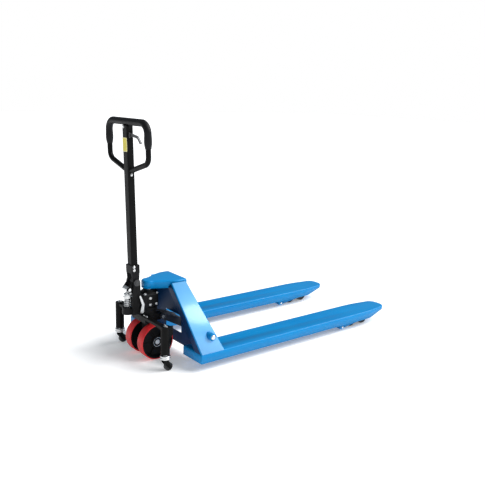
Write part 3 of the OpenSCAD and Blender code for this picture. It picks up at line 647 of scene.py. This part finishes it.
def side_plate(side):
    foot = [at(side * FOOT_X, y, FORK_TOP - 1) for y in (0, FOOT)]
    top = [at(side * TOP_X, y, TOP_Z) for y in (REAR, FRONT)]
    bm = bmesh.new()
    plate = flat(bm, foot + top)
    bm.normal_update()
    outward = plate.normal if plate.normal.x * side > 0 else -plate.normal
    folds = [e for e in bm.edges if abs(e.verts[0].co.z - e.verts[1].co.z) > 0.1]
    walls(bm, folds, -outward * 0.042)
    bmesh.ops.recalc_face_normals(bm, faces=bm.faces[:])
    if sum((f.normal.dot(outward) * f.calc_area() for f in bm.faces)) < 0:
        bmesh.ops.reverse_faces(bm, faces=bm.faces[:])
    round_edges(bm, lambda e: len(e.link_faces) == 2, 7, 5)
    # the broad outer face gets the paler blue, a painted sheen, and the folded edges the darker blue,
    # painted shade
    for face in bm.faces:
        facing = face.normal.dot(outward)
        face.material_index = 1 if facing > 0.95 else 2 if facing < 0.3 else 0
    # the folds stop at the fork and at the head
    for height, keep in ((FORK_TOP, -1), (TOP_Z, 1)):
        cut(bm, at(0, 0, height), (0, 0, keep), clear=True)
    return bm


# the side plates' outer faces take the painted sheen blue, and their folds the painted shade blue
for hand, side in each_side():
    thickened(piece(side_plate(side), "side_plate_" + hand, "blue", "lifting_frame", smooth=40,
                    extra=(PAINTED_SHEEN_BLUE, PAINTED_SHADE_BLUE)), 5)

# %% The head
plan = [at(x, y, HEAD_TOP) for x, y in ((-37, -120), (37, -120), (37, -83), (66, -24), (90, 20), (90, 84),
                                        (-90, 84), (-90, 20), (-66, -24), (-37, -83))]
bm = bmesh.new()
flat(bm, plan)
round_corners(bm, plan[:2], 31, 14)
round_corners(bm, [plan[i] for i in (2, 9)], 5, 3)
round_corners(bm, [plan[i] for i in (3, 4, 7, 8)], 20, 6)
round_corners(bm, [plan[i] for i in (5, 6)], 12, 6)
walls(bm, bm.edges[:], (0, 0, -0.039))
facing_up(bm)
rim_z = HEAD_TOP / 1000 - 1e-4
rounded_count = round_edges(bm, lambda e: len(e.link_faces) == 2 and min(v.co.z for v in e.verts) > rim_z,
                            9, 5)
thickened(piece(bm, "head_cap", "blue", "lifting_frame", ("chassis",), smooth=40), 5)
print("head rim edges rounded", rounded_count)

# %% The bulkhead between the side plates
lean = (FOOT_X - TOP_X) / (TOP_Z - FORK_TOP)
EDGE_IN, HEEL_IN, HEEL_TOP = 6.4, 182.5, 86
ARCH_HALF, ARCH_LOW, ARCH_TOP = 74, 104.7, 196.7
SIDE_CUT_X, SIDE_CUT_TOP = 240.5, 178
edge_at = lambda z: FOOT_X - EDGE_IN - (z - FORK_TOP) * lean
right = [(HEEL_IN, 46), (HEEL_IN, HEEL_TOP), (edge_at(HEEL_TOP), HEEL_TOP), (edge_at(TOP_Z), TOP_Z)]
outline = [(-HEEL_IN, 46)] + right + [(-x, z) for x, z in right[:0:-1]]
bm = bmesh.new()
flat(bm, [at(x, 64, z) for x, z in outline])
for x in (-ARCH_HALF, ARCH_HALF, -SIDE_CUT_X, SIDE_CUT_X):
    cut(bm, at(x, 0, 0), ACROSS)
for z in (ARCH_LOW, ARCH_TOP, SIDE_CUT_TOP):
    cut(bm, at(0, 0, z), UP)


def is_window(face):
    x, _, z = face.calc_center_median() * 1000
    return (abs(x) < ARCH_HALF and ARCH_LOW < z < ARCH_TOP) or (abs(x) > SIDE_CUT_X and z < SIDE_CUT_TOP)


bmesh.ops.delete(bm, geom=[f for f in bm.faces if is_window(f)], context="FACES")
pulled(bm, bm.faces[:], (0, -0.004, 0))
bmesh.ops.recalc_face_normals(bm, faces=bm.faces[:])
bmesh.ops.dissolve_limit(bm, angle_limit=0.01, verts=bm.verts[:], edges=bm.edges[:])
# the bulkhead and its ledge below take the dark blue of painted shade
piece(bm, "bulkhead", "painted_shade", "lifting_frame", smooth=30)
ledge = slab([at(x, y, 46) for x, y in ((-HEEL_IN, 60), (HEEL_IN, 60), (HEEL_IN, 94), (-HEEL_IN, 94))],
             (0, 0, 0.004))
bevelled(piece(ledge, "bulkhead_ledge", "painted_shade", "lifting_frame"), 1)

# %% [markdown]
# The rocker's pins turn in short bosses welded through the side plates.  A
# zinc pin with a turned groove shows in the end of each boss.

# %% Bosses and rocker pins
for hand, side in each_side():
    aim = toward(at(0, ROCKER_Y, ROCKER_Z), (side, 0, 0))
    boss = turned([(12.1, 271), (18, 271), (19, 272), (19, 314), (17.5, 316.5), (13.5, 316.5),
                   (12.1, 315)], 56, True)
    piece(joined((boss, aim, 0)), "rocker_boss_" + hand, "blue", "lifting_frame", smooth=30)
    shaft = turned([(0, 224), (11, 224), (12, 225), (12, 313), (11, 314), (11, 315.5), (12, 316.5),
                    (12, 318.5), (10, 320.4), (0, 320.4)], 48)
    piece(joined((shaft, aim, 0)), "rocker_pivot_" + hand, "zinc", "lifting_frame",
          ("rocker_pivots",) if side > 0 else (), smooth=30)

# %% [markdown]
# Weld beads join the side plates to the forks and to the head.  A bead is a
# thin bar whose width ripples, sunk halfway into the corner it fills.

# %% Weld beads
for hand, side in each_side():
    runs = (((FOOT_X - 46, 2, FORK_TOP), (FOOT_X - 46, 18, FORK_TOP), 2.2, 0.4),
            ((FOOT_X - 5.5, FOOT - 1, FORK_TOP + 1), (FOOT_X - 40, FOOT - 1, FORK_TOP + 1), 2.2, 1.1),
            ((90.5, 0, 357), (90.5, 70, 357), 2.6, 0.9),
            ((FORK_X - 76, 66, 90), (FORK_X + 30, 66, 90), 2.2, 2.0))
    beads = [(weld([at(side * x, y, z) for x, y, z in ends], radius, seed), Matrix(), 0)
             for *ends, radius, seed in runs]
    piece(joined(*beads), "weld_beads_" + hand, "blue", "lifting_frame", smooth=60)
softened("piston_seat", "zinc", 1.0)

# %% [markdown]
# ## Rocker, push rods and load rollers
#
# The links that carry the lift from the pump to the rollers are flame-cut
# plates and bars.  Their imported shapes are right, so a copy of each gets the
# small rounding that a cut and ground edge has.

# %% Links
softened("rocker", "links", 1.5)
softened("rocker_pins", "zinc", 0.6)
for hand, side in each_side():
    for name, paint, width in (("push_rod_", "links", 0.8), ("load_lever_", "blue", 0.8),
                               ("lever_pins_", "zinc", 0.6), ("bogie_", "links", 0.8),
                               ("roller_axles_", "zinc", 0.8)):
        softened(name + hand, paint, width)

# %% [markdown]
# The load rollers are solid nylon with a slightly crowned face, a chamfer and a
# dished side round the axle.  A turned profile gives the crown and the dish.

# %% Load rollers
ROLLER_R, SIDE_H, BOGIE_Y, PITCH = 39, -31, 1142.808, 98
crowned = both_halves([(7.1, SIDE_H + 1), (14, SIDE_H + 0.2), (16, SIDE_H + 3), (30, SIDE_H + 3),
                       (32, SIDE_H + 0.2), (36, SIDE_H), (38.4, SIDE_H + 2.2), (38.8, -20),
                       (ROLLER_R, 0)], shared=True)
for hand, side in each_side():
    for place, step in (("rear", -1), ("front", 1)):
        axis = toward(at(side * FORK_X, BOGIE_Y + step * PITCH / 2, ROLLER_R), ACROSS)
        bm = joined((turned(crowned, 72, True), axis, 0))
        body = "roller_" + hand + "_" + place
        piece(bm, body + "_turned", "roller", body, (body,), smooth=28)

# %% [markdown]
# ## Steering wheels
#
# Red polyurethane is cast on a black core.  The tread has rounded shoulders and
# a fine mould line; the core is a rim, a thin web and a hub with a sealed
# bearing.  Every part is turned, and six shallow ribs stiffen the web.

# %% Treads, cores and bearings
WHEEL_X, RIBS = 58, 6
tread_line = both_halves([(84.2, -24), (86, -25), (88.4, -24.2), (89.6, -21.6), (90, -18), (90, -0.8),
                          (89.6, 0)], shared=True)
core_line = [(23.6, -24), (30, -24), (31, -23), (34, -8), (70, -8), (74, -11), (76, -22), (78, -23),
             (84, -23), (84, 23), (78, 23), (76.4, 22), (74, 13), (70, 10), (36, 11), (33, 14), (31, 23),
             (30, 24), (23.6, 24)]
bearing_line = both_halves([(10.1, -6), (12, -6), (12.6, -5), (21, -5), (21.6, -6), (23.5, -6)])
for hand, side in each_side():
    aim = toward(at(side * WHEEL_X, STEER_Y, AXLE_Z), (side, 0, 0))
    body = "steer_wheel_" + hand
    piece(joined((turned(tread_line, 112, True), aim, 0)), "wheel_tread_" + hand + "_cast", "tread", body,
          ("wheel_tread_" + hand,), smooth=25)
    parts = [(turned(core_line, 96, True), aim, 0)]
    for i in range(RIBS):
        rib = bmesh.new()
        bmesh.ops.create_cube(rib, size=1.0)
        bmesh.ops.transform(rib, matrix=Matrix.Diagonal((0.038, 0.005, 0.0065, 1)), verts=rib.verts[:])
        narrow = [v for v in rib.verts if v.co.z > 0]
        bmesh.ops.scale(rib, vec=(1.0, 0.55, 1.0), verts=narrow)
        spoke = Matrix.Rotation(i * math.tau / RIBS, 4, "Z") @ Matrix.Translation((0.0525, 0, 0.0128))
        parts.append((rib, aim @ spoke, 0))
    piece(joined(*parts), "wheel_core_" + hand + "_cast", "core", body, ("wheel_core_" + hand,), smooth=28)
    bm = joined(*[(turned([(r, h + middle) for r, h in bearing_line], 56, True), aim, 0)
                  for middle in (-17, 17)])
    # the seals between the two races are black
    for face in bm.faces:
        if 0.0127 < (aim.inverted() @ face.calc_center_median()).xy.length < 0.0209:
            face.material_index = 1
    piece(bm, "wheel_bearings_" + hand + "_turned", "zinc", body, ("wheel_bearings_" + hand,), 25, (CORE,))
axle = turned([(0, -82), (9, -82), (10, -81), (10, 81), (9, 82), (4, 82), (3, 80.5), (0, 80.5)], 40)
piece(joined((axle, toward(at(0, STEER_Y, AXLE_Z), ACROSS), 0)), "steer_axle_turned", "zinc", "pump_unit",
      ("steer_axle",), smooth=28)

# %% [markdown]
# ## Pump unit
#
# The pump is one iron casting with a machined cylinder, a reservoir round it and
# a plunger housing at the back.  The edges of a casting are round because sand
# can't hold a sharp corner, so they get a wider radius than cut steel.

# %% Castings
softened("pump_body", "casting", 2.2, 3)
softened("handle_bracket", "casting", 1.6, 3)
softened("lift_piston", "chrome", 0.8)
softened("thrust_bearing", "casting", 1.0)

# %% Reservoir
TANK_Y, TANK_HALF, TANK_LOW, TANK_TOP = STEER_Y - 14, 46, 266, 330
corners = [at(x, TANK_Y + y, TANK_LOW) for x, y in ((-TANK_HALF, -TANK_HALF), (TANK_HALF, -TANK_HALF),
                                                    (TANK_HALF, TANK_HALF), (-TANK_HALF, TANK_HALF))]
tank = slab(corners, (0, 0, 0.064), (0, 1, 2, 3), 16, 8)
round_edges(tank, lambda e: abs(e.verts[0].co.z - e.verts[1].co.z) < 1e-6 and e.verts[0].co.z > 0.329
            and e.calc_face_angle(0) > 0.5, 5, 4)
lid = turned([(33.3, 0), (45, 0), (45, 3), (43, 5), (37, 5), (36, 8), (33.3, 8)], 64, True)
ear = slab([at(x, TANK_Y + y, 286) for x, y in ((TANK_HALF, -22), (54, -18), (54, -2), (TANK_HALF, 2))],
           (0, 0, 0.016), (1, 2), 4, 4)
piece(joined((tank, Matrix(), 0), (lid, toward(at(0, STEER_Y, TANK_TOP), UP), 0), (ear, Matrix(), 0)),
      "reservoir_cast", "casting", "pump_unit", ("reservoir",), smooth=30)
plug = turned([(0, 0), (8, 0), (8, 3), (7, 5), (4, 5), (3.5, 3.6), (0, 3.6)], 32)
bolts = [(plug, toward(at(34, STEER_Y - 42, TANK_TOP), UP), 0)]
for x, y in ((-38, -50), (38, 22), (-38, 22)):
    bolts.append((hex_bolt(5, 6), toward(at(x, STEER_Y + y, TANK_TOP), UP, x), 0))
for y, z in ((-20, 278), (-20, 310), (14, 278)):
    bolts.append((hex_bolt(5, 6), toward(at(TANK_HALF, STEER_Y + y, z), ACROSS, y), 0))
piece(joined(*bolts), "pump_bolts", "zinc", "pump_unit", ("pump_screws",), smooth=30)

# %% [markdown]
# ## Pump plunger and spring
#
# The handle's press roller pushes a domed zinc cap down against a coil spring.
# The spring is a round wire spun about the plunger while it climbs, one screw
# turn at a time, which is how a spring is wound.

# %% A wound spring


def spring(radius, wire, low, high, turns, centre):
    bm = bmesh.new()
    ring = bmesh.ops.create_circle(bm, segments=10, radius=wire / 1000, cap_ends=False)["verts"]
    bmesh.ops.rotate(bm, verts=ring, cent=(0, 0, 0), matrix=Matrix.Rotation(math.pi / 2, 3, "X"))
    bmesh.ops.translate(bm, verts=ring, vec=(radius / 1000, 0, (low + wire) / 1000))
    steps = turns * 24
    climb = (high - low - 2 * wire) / 1000 / steps
    bmesh.ops.spin(bm, geom=bm.verts[:] + bm.edges[:], cent=(0, 0, 0), axis=(0, 0, 1), dvec=(0, 0, climb),
                   angle=math.tau * turns, steps=steps)
    bmesh.ops.holes_fill(bm, edges=[e for e in bm.edges if e.is_boundary], sides=12)
    bmesh.ops.recalc_face_normals(bm, faces=bm.faces[:])
    bmesh.ops.translate(bm, vec=centre, verts=bm.verts[:])
    return bm


PLUNGER = at(0, -203, 0)
SPRING_LOW, SPRING_HIGH, CLOSED = 271, 320, 23
DOME_R, DOME_Z = 30, 318
coil = piece(spring(16.5, 2, SPRING_LOW, SPRING_HIGH, 5, PLUNGER), "pump_spring_wound", "zinc", "pump_unit",
             ("pump_spring",), smooth=40)
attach(coil, frame["nodes"]["pump_spring"]["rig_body"])
softened("pump_plunger", "chrome", 0.6)
dome = [(DOME_R * math.sin(a), DOME_Z + DOME_R * math.cos(a)) for a in map(math.radians, range(42, -1, -6))]
cap = turned([(0, 320), (21.8, 320), (22.5, 321), (22.5, 327), (20, 328.6), (20, 331.5), (21.4, 333)] + dome,
             56)
piece(joined((cap, Matrix.Translation(PLUNGER), 0)), "spring_cap_turned", "zinc",
      frame["nodes"]["spring_cap"]["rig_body"], ("spring_cap",), smooth=28)
softened("release_lever", "zinc", 0.8)

# %% [markdown]
# ## Carrier and stabiliser
#
# The carrier is the casting that the pump unit turns in.  From it a beam runs
# out to a spring post on each side, and a curved web stiffens the corner.  Small
# zinc castors under the posts stop the truck tipping as it turns.

# %% Carrier
softened("carrier", "casting", 3.0, 3)
softened("link_pin", "zinc", 1.0)
bolts = []
for x in (-52, -28, 28, 52):
    bolts.append((hex_bolt(5, 6), toward(at(x, POST_Y, 220), UP, x), 0))
for hand, side in each_side():
    bolts.append((hex_bolt(7, 6), toward(at(side * POST_X, POST_Y, POST_TOP), UP, side), 0))
    wing = slab([at(side * POST_X + x, POST_Y, z) for x, z in ((-3, 228), (3, 228), (14, 231.6), (11, 232),
                                                               (-11, 232), (-14, 231.6))], (0, 0.003, 0))
    bolts.append((wing, Matrix(), 0))
piece(joined(*bolts), "beam_bolts_hex", "zinc", "base", ("beam_bolts",), smooth=30)

# %% Beam, posts and webs
softened("stabiliser_beam", "powder", 1.8, 3)

# %% Springs and castors
POST_SPRING_LOW, POST_SPRING_HIGH, CASTOR_TRAVEL = 152, 218, 6
CASTOR_Y, CASTOR_R = -112, 21
collar_line = [(6.1, 62), (24, 62), (25, 63), (25, 68), (22.5, 70), (22.5, 72), (25, 74), (25, 78.5),
               (24, 79.5), (11, 79.5), (11, 147), (14, 148), (14, 152), (0, 152), (0, 91), (6.1, 91)]
tyre_line = both_halves([(4.1, -9.5), (9, -9.5), (10, -7.5), (15, -7.5), (16, -10), (19, -10), (20.6, -8.4),
                         (CASTOR_R, -5)])
post_coils = {}
for hand, side in each_side():
    centre = at(side * POST_X, POST_Y, 0)
    post_coils[hand] = piece(spring(12, 1.6, POST_SPRING_LOW, POST_SPRING_HIGH, 5, centre),
                             "post_spring_" + hand + "_wound", "zinc",
                             frame["nodes"]["post_spring_" + hand]["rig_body"], ("post_spring_" + hand,),
                             smooth=40)
    piece(joined((turned(collar_line, 56, True), Matrix.Translation(centre), 0)),
          "castor_stem_" + hand + "_turned", "zinc", "castor_stem_" + hand, ("castor_stem_" + hand,),
          smooth=28)
    softened("castor_fork_" + hand, "powder", 0.7)
    aim = toward(at(side * POST_X, CASTOR_Y, CASTOR_R), ACROSS)
    piece(joined((turned(tyre_line, 48, True), aim, 0)), "castor_wheel_" + hand + "_turned", "roller",
          "castor_wheel_" + hand, ("castor_wheel_" + hand,), smooth=28)

# %% [markdown]
# ## Handle
#
# The handle is a rectangular shaft in a cast fork, with a bent tube loop at its
# top.  The loop is a line with a round section, so its bends stay smooth, and
# the rubber grip over it swells where the hands hold and tapers to its ends.

# %% Handle base and shaft
softened("handle_base", "casting", 1.8, 3)
softened("handle_shaft", "powder", 0.8)
softened("press_roller", "zinc", 1.2)
ends = [(hex_bolt(11, 3.4), toward(at(side * 37.7, PIVOT_Y, PIVOT_Z), (side, 0, 0)), 0) for side in (-1, 1)]
ends.append((pin(9, 74, 1), toward(at(0, PIVOT_Y, PIVOT_Z), ACROSS), 0))
piece(joined(*ends), "handle_pin_turned", "oiled", "pump_unit", ("handle_pin",), smooth=28)
PRESS_Y, PRESS_Z, CHEEK = -36, -32, 28
screws = [(pin(5, 2 * CHEEK, 0.8), toward(along(0, PRESS_Y, PRESS_Z), ACROSS), 0)]
for side in (-1, 1):
    screws.append((turned([(0, 0), (8, 0), (8, 0.5), (7, 1.1), (0, 1.1)], 32),
                   toward(along(side * CHEEK, PRESS_Y, PRESS_Z), (side, 0, 0)), 0))
for z in (62, 78):
    screws.append((hex_bolt(4.5, 5), toward(along(CHEEK, -8, z), ACROSS, z), 0))
screws.append((hex_bolt(4, 4), toward(along(22, 0, 521), ACROSS), 0))
screws.append((hex_bolt(4, 4), toward(along(-8, -17, 742), OPERATOR), 0))
piece(joined(*screws), "handle_screws_hex", "zinc", "handle", ("handle_screws",), smooth=30)

# %% The line of the loop
HALF, BEND, LOW_BEND, CORNER, VEE = 181, 48, 40, LOOP - 177, LOOP - 231
VEE_A = math.atan((CORNER - VEE) / HALF)


def arc(cx, cz, radius, first, last, count=12):
    return [(cx + radius * math.cos(first + (last - first) * i / count),
             cz + radius * math.sin(first + (last - first) * i / count)) for i in range(count + 1)]


low_x = HALF - LOW_BEND
low_z = CORNER + LOW_BEND * math.tan(math.pi / 4 - VEE_A / 2)
top_arc = arc(HALF - BEND, LOOP - BEND, BEND, math.pi / 2, 0)
low_arc = arc(low_x, low_z, LOW_BEND, 0, VEE_A - math.pi / 2)
foot_x, foot_z = low_arc[-1]
side_line = top_arc + low_arc + [(20, foot_z - (foot_x - 20) * math.tan(VEE_A))]
line = [(-x, z) for x, z in reversed(side_line)] + side_line
loop = swept([along(x, 0, z) for x, z in line], 12.5, resolution=8)
# gussets under the top bar, each with a hollow round edge
plates = []
for side in (-1, 1):
    curve = [along(side * (21 + 26 * (1 - math.sin(a))), -9, LOOP - 9 - 30 * (1 - math.cos(a)))
             for a in [i * math.pi / 16 for i in range(9)]]
    gusset = slab(curve + [along(side * 21, -9, LOOP - 9)], -OPERATOR * 0.018)
    plates.append((gusset, Matrix(), 0))
piece(joined((loop, Matrix(), 0), *plates), "handle_loop_bent", "powder", "handle", ("handle_loop",),
      smooth=30)

# %% The grip
fine_arc = arc(HALF - BEND, LOOP - BEND, BEND, math.pi / 2, 0, 20)
tops = [(0, LOOP), (30, LOOP), (60, LOOP), (90, LOOP), (115, LOOP)] + fine_arc
sides = [(HALF, LOOP - BEND - d) for d in (5, 12, 20, 28, 36, 44, 50, 56, 60, 62.5, 64)]
swell = [17.0] * len(tops) + [17.2, 17.5, 17.8, 18.0, 17.9, 17.4, 16.6, 15.4, 14.6, 14.4, 13.4]
right = list(zip(tops + sides, swell))
whole = [((-x, z), r) for (x, z), r in reversed(right[1:])] + right
grip = swept([along(x, 0, z) for (x, z), r in whole], 1.0, [r for p, r in whole], 9)
piece(grip, "handle_grip_moulded", "rubber", "handle", ("handle_grip",), smooth=60)

# %% [markdown]
# The instruction plate is a thin printed sheet on the operator's side of the
# shaft.  It is left plain: yellow, with a paler border, and no lettering.

# %% Label
LABEL_HALF, LABEL_LOW, LABEL_HIGH = 20, LOOP - 137, LOOP - 73
label = slab([along(x, -17.05, z) for x, z in ((-LABEL_HALF, LABEL_LOW), (LABEL_HALF, LABEL_LOW),
                                               (LABEL_HALF, LABEL_HIGH), (-LABEL_HALF, LABEL_HIGH))],
             OPERATOR * 0.00055, (0, 1, 2, 3), 2.5, 5)
front = [f for f in label.faces if f.normal.dot(OPERATOR) > 0.9]
bmesh.ops.inset_region(label, faces=front, thickness=0.0032, depth=0)
for f in label.faces:
    f.material_index = 0 if f in front and f.is_valid else 1
piece(label, "label_plate_printed", "label", "handle", ("label_plate",), smooth=30, extra=(LABEL_EDGE,))

# %% [markdown]
# The control lever is a moulded finger lever with a grey tip.  It turns between
# two small cheeks on the side of the shaft.

# %% Control lever
LEVER_Z, TIP_X = LOOP - 60, 94
outline = [(14, 7), (24, 8), (50, 5), (90, -1), (99, -6), (122, -29), (117, -36), (112, -34), (92, -13),
           (86, -11), (50, -7), (24, -8), (14, -7)]
bm = slab([along(x, -4, LEVER_Z + z) for x, z in outline], -OPERATOR * 0.008, range(1, 12), 3, 3)
for f in bm.faces:
    f.material_index = 1 if (HANDLE.inverted() @ f.calc_center_median()).x > TIP_X / 1000 else 0
lever = piece(bm, "control_lever_moulded", "lever", "control_lever", ("control_lever",), smooth=40,
              extra=(LEVER_TIP,))
bevelled(lever, 2.0, 3, 50)
cheeks = []
for y in (-8.6, 4.6):
    corners = [along(x, y, LEVER_Z + z) for x, z in ((21, -13), (34, -13), (34, 12), (21, 12))]
    cheeks.append((slab(corners, -OPERATOR * 0.004, (1, 2), 5, 5), Matrix(), 0))
bevelled(piece(joined(*cheeks), "lever_cheeks", "lever", "handle", smooth=40), 0.8)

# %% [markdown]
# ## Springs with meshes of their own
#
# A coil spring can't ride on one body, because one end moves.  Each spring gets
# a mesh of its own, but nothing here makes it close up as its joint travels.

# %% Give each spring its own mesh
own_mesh(coil)
for hand, post_coil in post_coils.items():
    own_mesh(post_coil)

# %% [markdown]
# ## Stage, light and camera
#
# The truck stands on a plain pale floor in a bright, soft studio.  One broad
# light high over the fork side models the forks and the leaning plates, and a
# weak one fills the operator's side.  The backdrop is white for the lens only;
# the parts reflect a dimmer room, so the black ones stay deep.

# %% Floor
floor_mesh = bmesh.new()
bmesh.ops.create_grid(floor_mesh, x_segments=1, y_segments=1, size=30)
mesh = bpy.data.meshes.new("floor")
floor_mesh.to_mesh(mesh)
floor_mesh.free()
floor = bpy.data.objects.new("floor", mesh)
bpy.context.scene.collection.objects.link(floor)
pale = bpy.data.materials.new("pale_floor")
pale.use_nodes = True
surface = pale.node_tree.nodes["Principled BSDF"]
surface.inputs["Roughness"].default_value = 0.9
surface.inputs["Emission Color"].default_value = (1, 1, 1, 1)
surface.inputs["Emission Strength"].default_value = 0.25
surface.inputs["Specular IOR Level"].default_value = 0.1
tone = spread(pale.node_tree, noise(pale.node_tree, 0.8, 2).outputs["Fac"], 0.3, 0.7)
pale.node_tree.links.new(over(pale.node_tree, tone, (0.93, 0.93, 0.93, 1), (0.95, 0.95, 0.95, 1)),
                         surface.inputs["Base Color"])
mesh.materials.append(pale)

# %% Studio
world = bpy.data.worlds.new("studio")
bpy.context.scene.world = world
world.use_nodes = True
tree = world.node_tree
backdrop = tree.nodes["Background"]
backdrop.inputs["Color"].default_value, backdrop.inputs["Strength"].default_value = (1, 1, 1, 1), 1.0
room = node(tree, "Background", Color=(0.82, 0.92, 1.0, 1), Strength=0.26)
either = node(tree, "MixShader")
tree.links.new(node(tree, "LightPath").outputs["Is Camera Ray"], either.inputs["Fac"])
tree.links.new(room.outputs["Background"], either.inputs[1])
tree.links.new(backdrop.outputs["Background"], either.inputs[2])
tree.links.new(either.outputs["Shader"], tree.nodes["World Output"].inputs["Surface"])


def soft_sun(name, from_direction, strength, spread_angle):
    light = bpy.data.lights.new(name, "SUN")
    light.energy, light.angle = strength, math.radians(spread_angle)
    made = bpy.data.objects.new(name, light)
    bpy.context.scene.collection.objects.link(made)
    made.rotation_mode = "QUATERNION"
    made.rotation_quaternion = Vector(from_direction).to_track_quat("Z", "Y")


soft_sun("key", (0.36, 0.61, 0.70), 4.3, 50)
soft_sun("fill", (0.75, -0.60, 0.30), 0.45, 70)
bpy.context.scene.view_settings.view_transform = "Standard"

# %% Camera
forward = Vector((-0.76014, 0.61065, -0.22202)).normalized()
across = forward.cross(Vector((0, 0, 1))).normalized()
upright = across.cross(forward)
roll = math.radians(1.77)
turned_across = math.cos(roll) * across + math.sin(roll) * upright
turned_up = math.cos(roll) * upright - math.sin(roll) * across
lens = bpy.data.cameras.new("camera")
lens.lens, lens.sensor_width = 49.106, 36
camera = bpy.data.objects.new("camera", lens)
bpy.context.scene.collection.objects.link(camera)
camera.matrix_world = (Matrix.Translation((2.7388, -2.2633, 1.3107))
                       @ Matrix((turned_across, turned_up, -forward)).transposed().to_4x4())
bpy.context.scene.camera = camera
print("camera", [round(v, 3) for v in camera.matrix_world.translation], "lens", lens.lens, "mm")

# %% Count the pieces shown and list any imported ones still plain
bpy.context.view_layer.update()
shown = [o for o in bpy.data.objects if o.type == "MESH" and not o.hide_render]
print(len(shown), "pieces shown;", "packed pieces still plain:",
      [o.name for o in shown if o.name in frame["nodes"]])
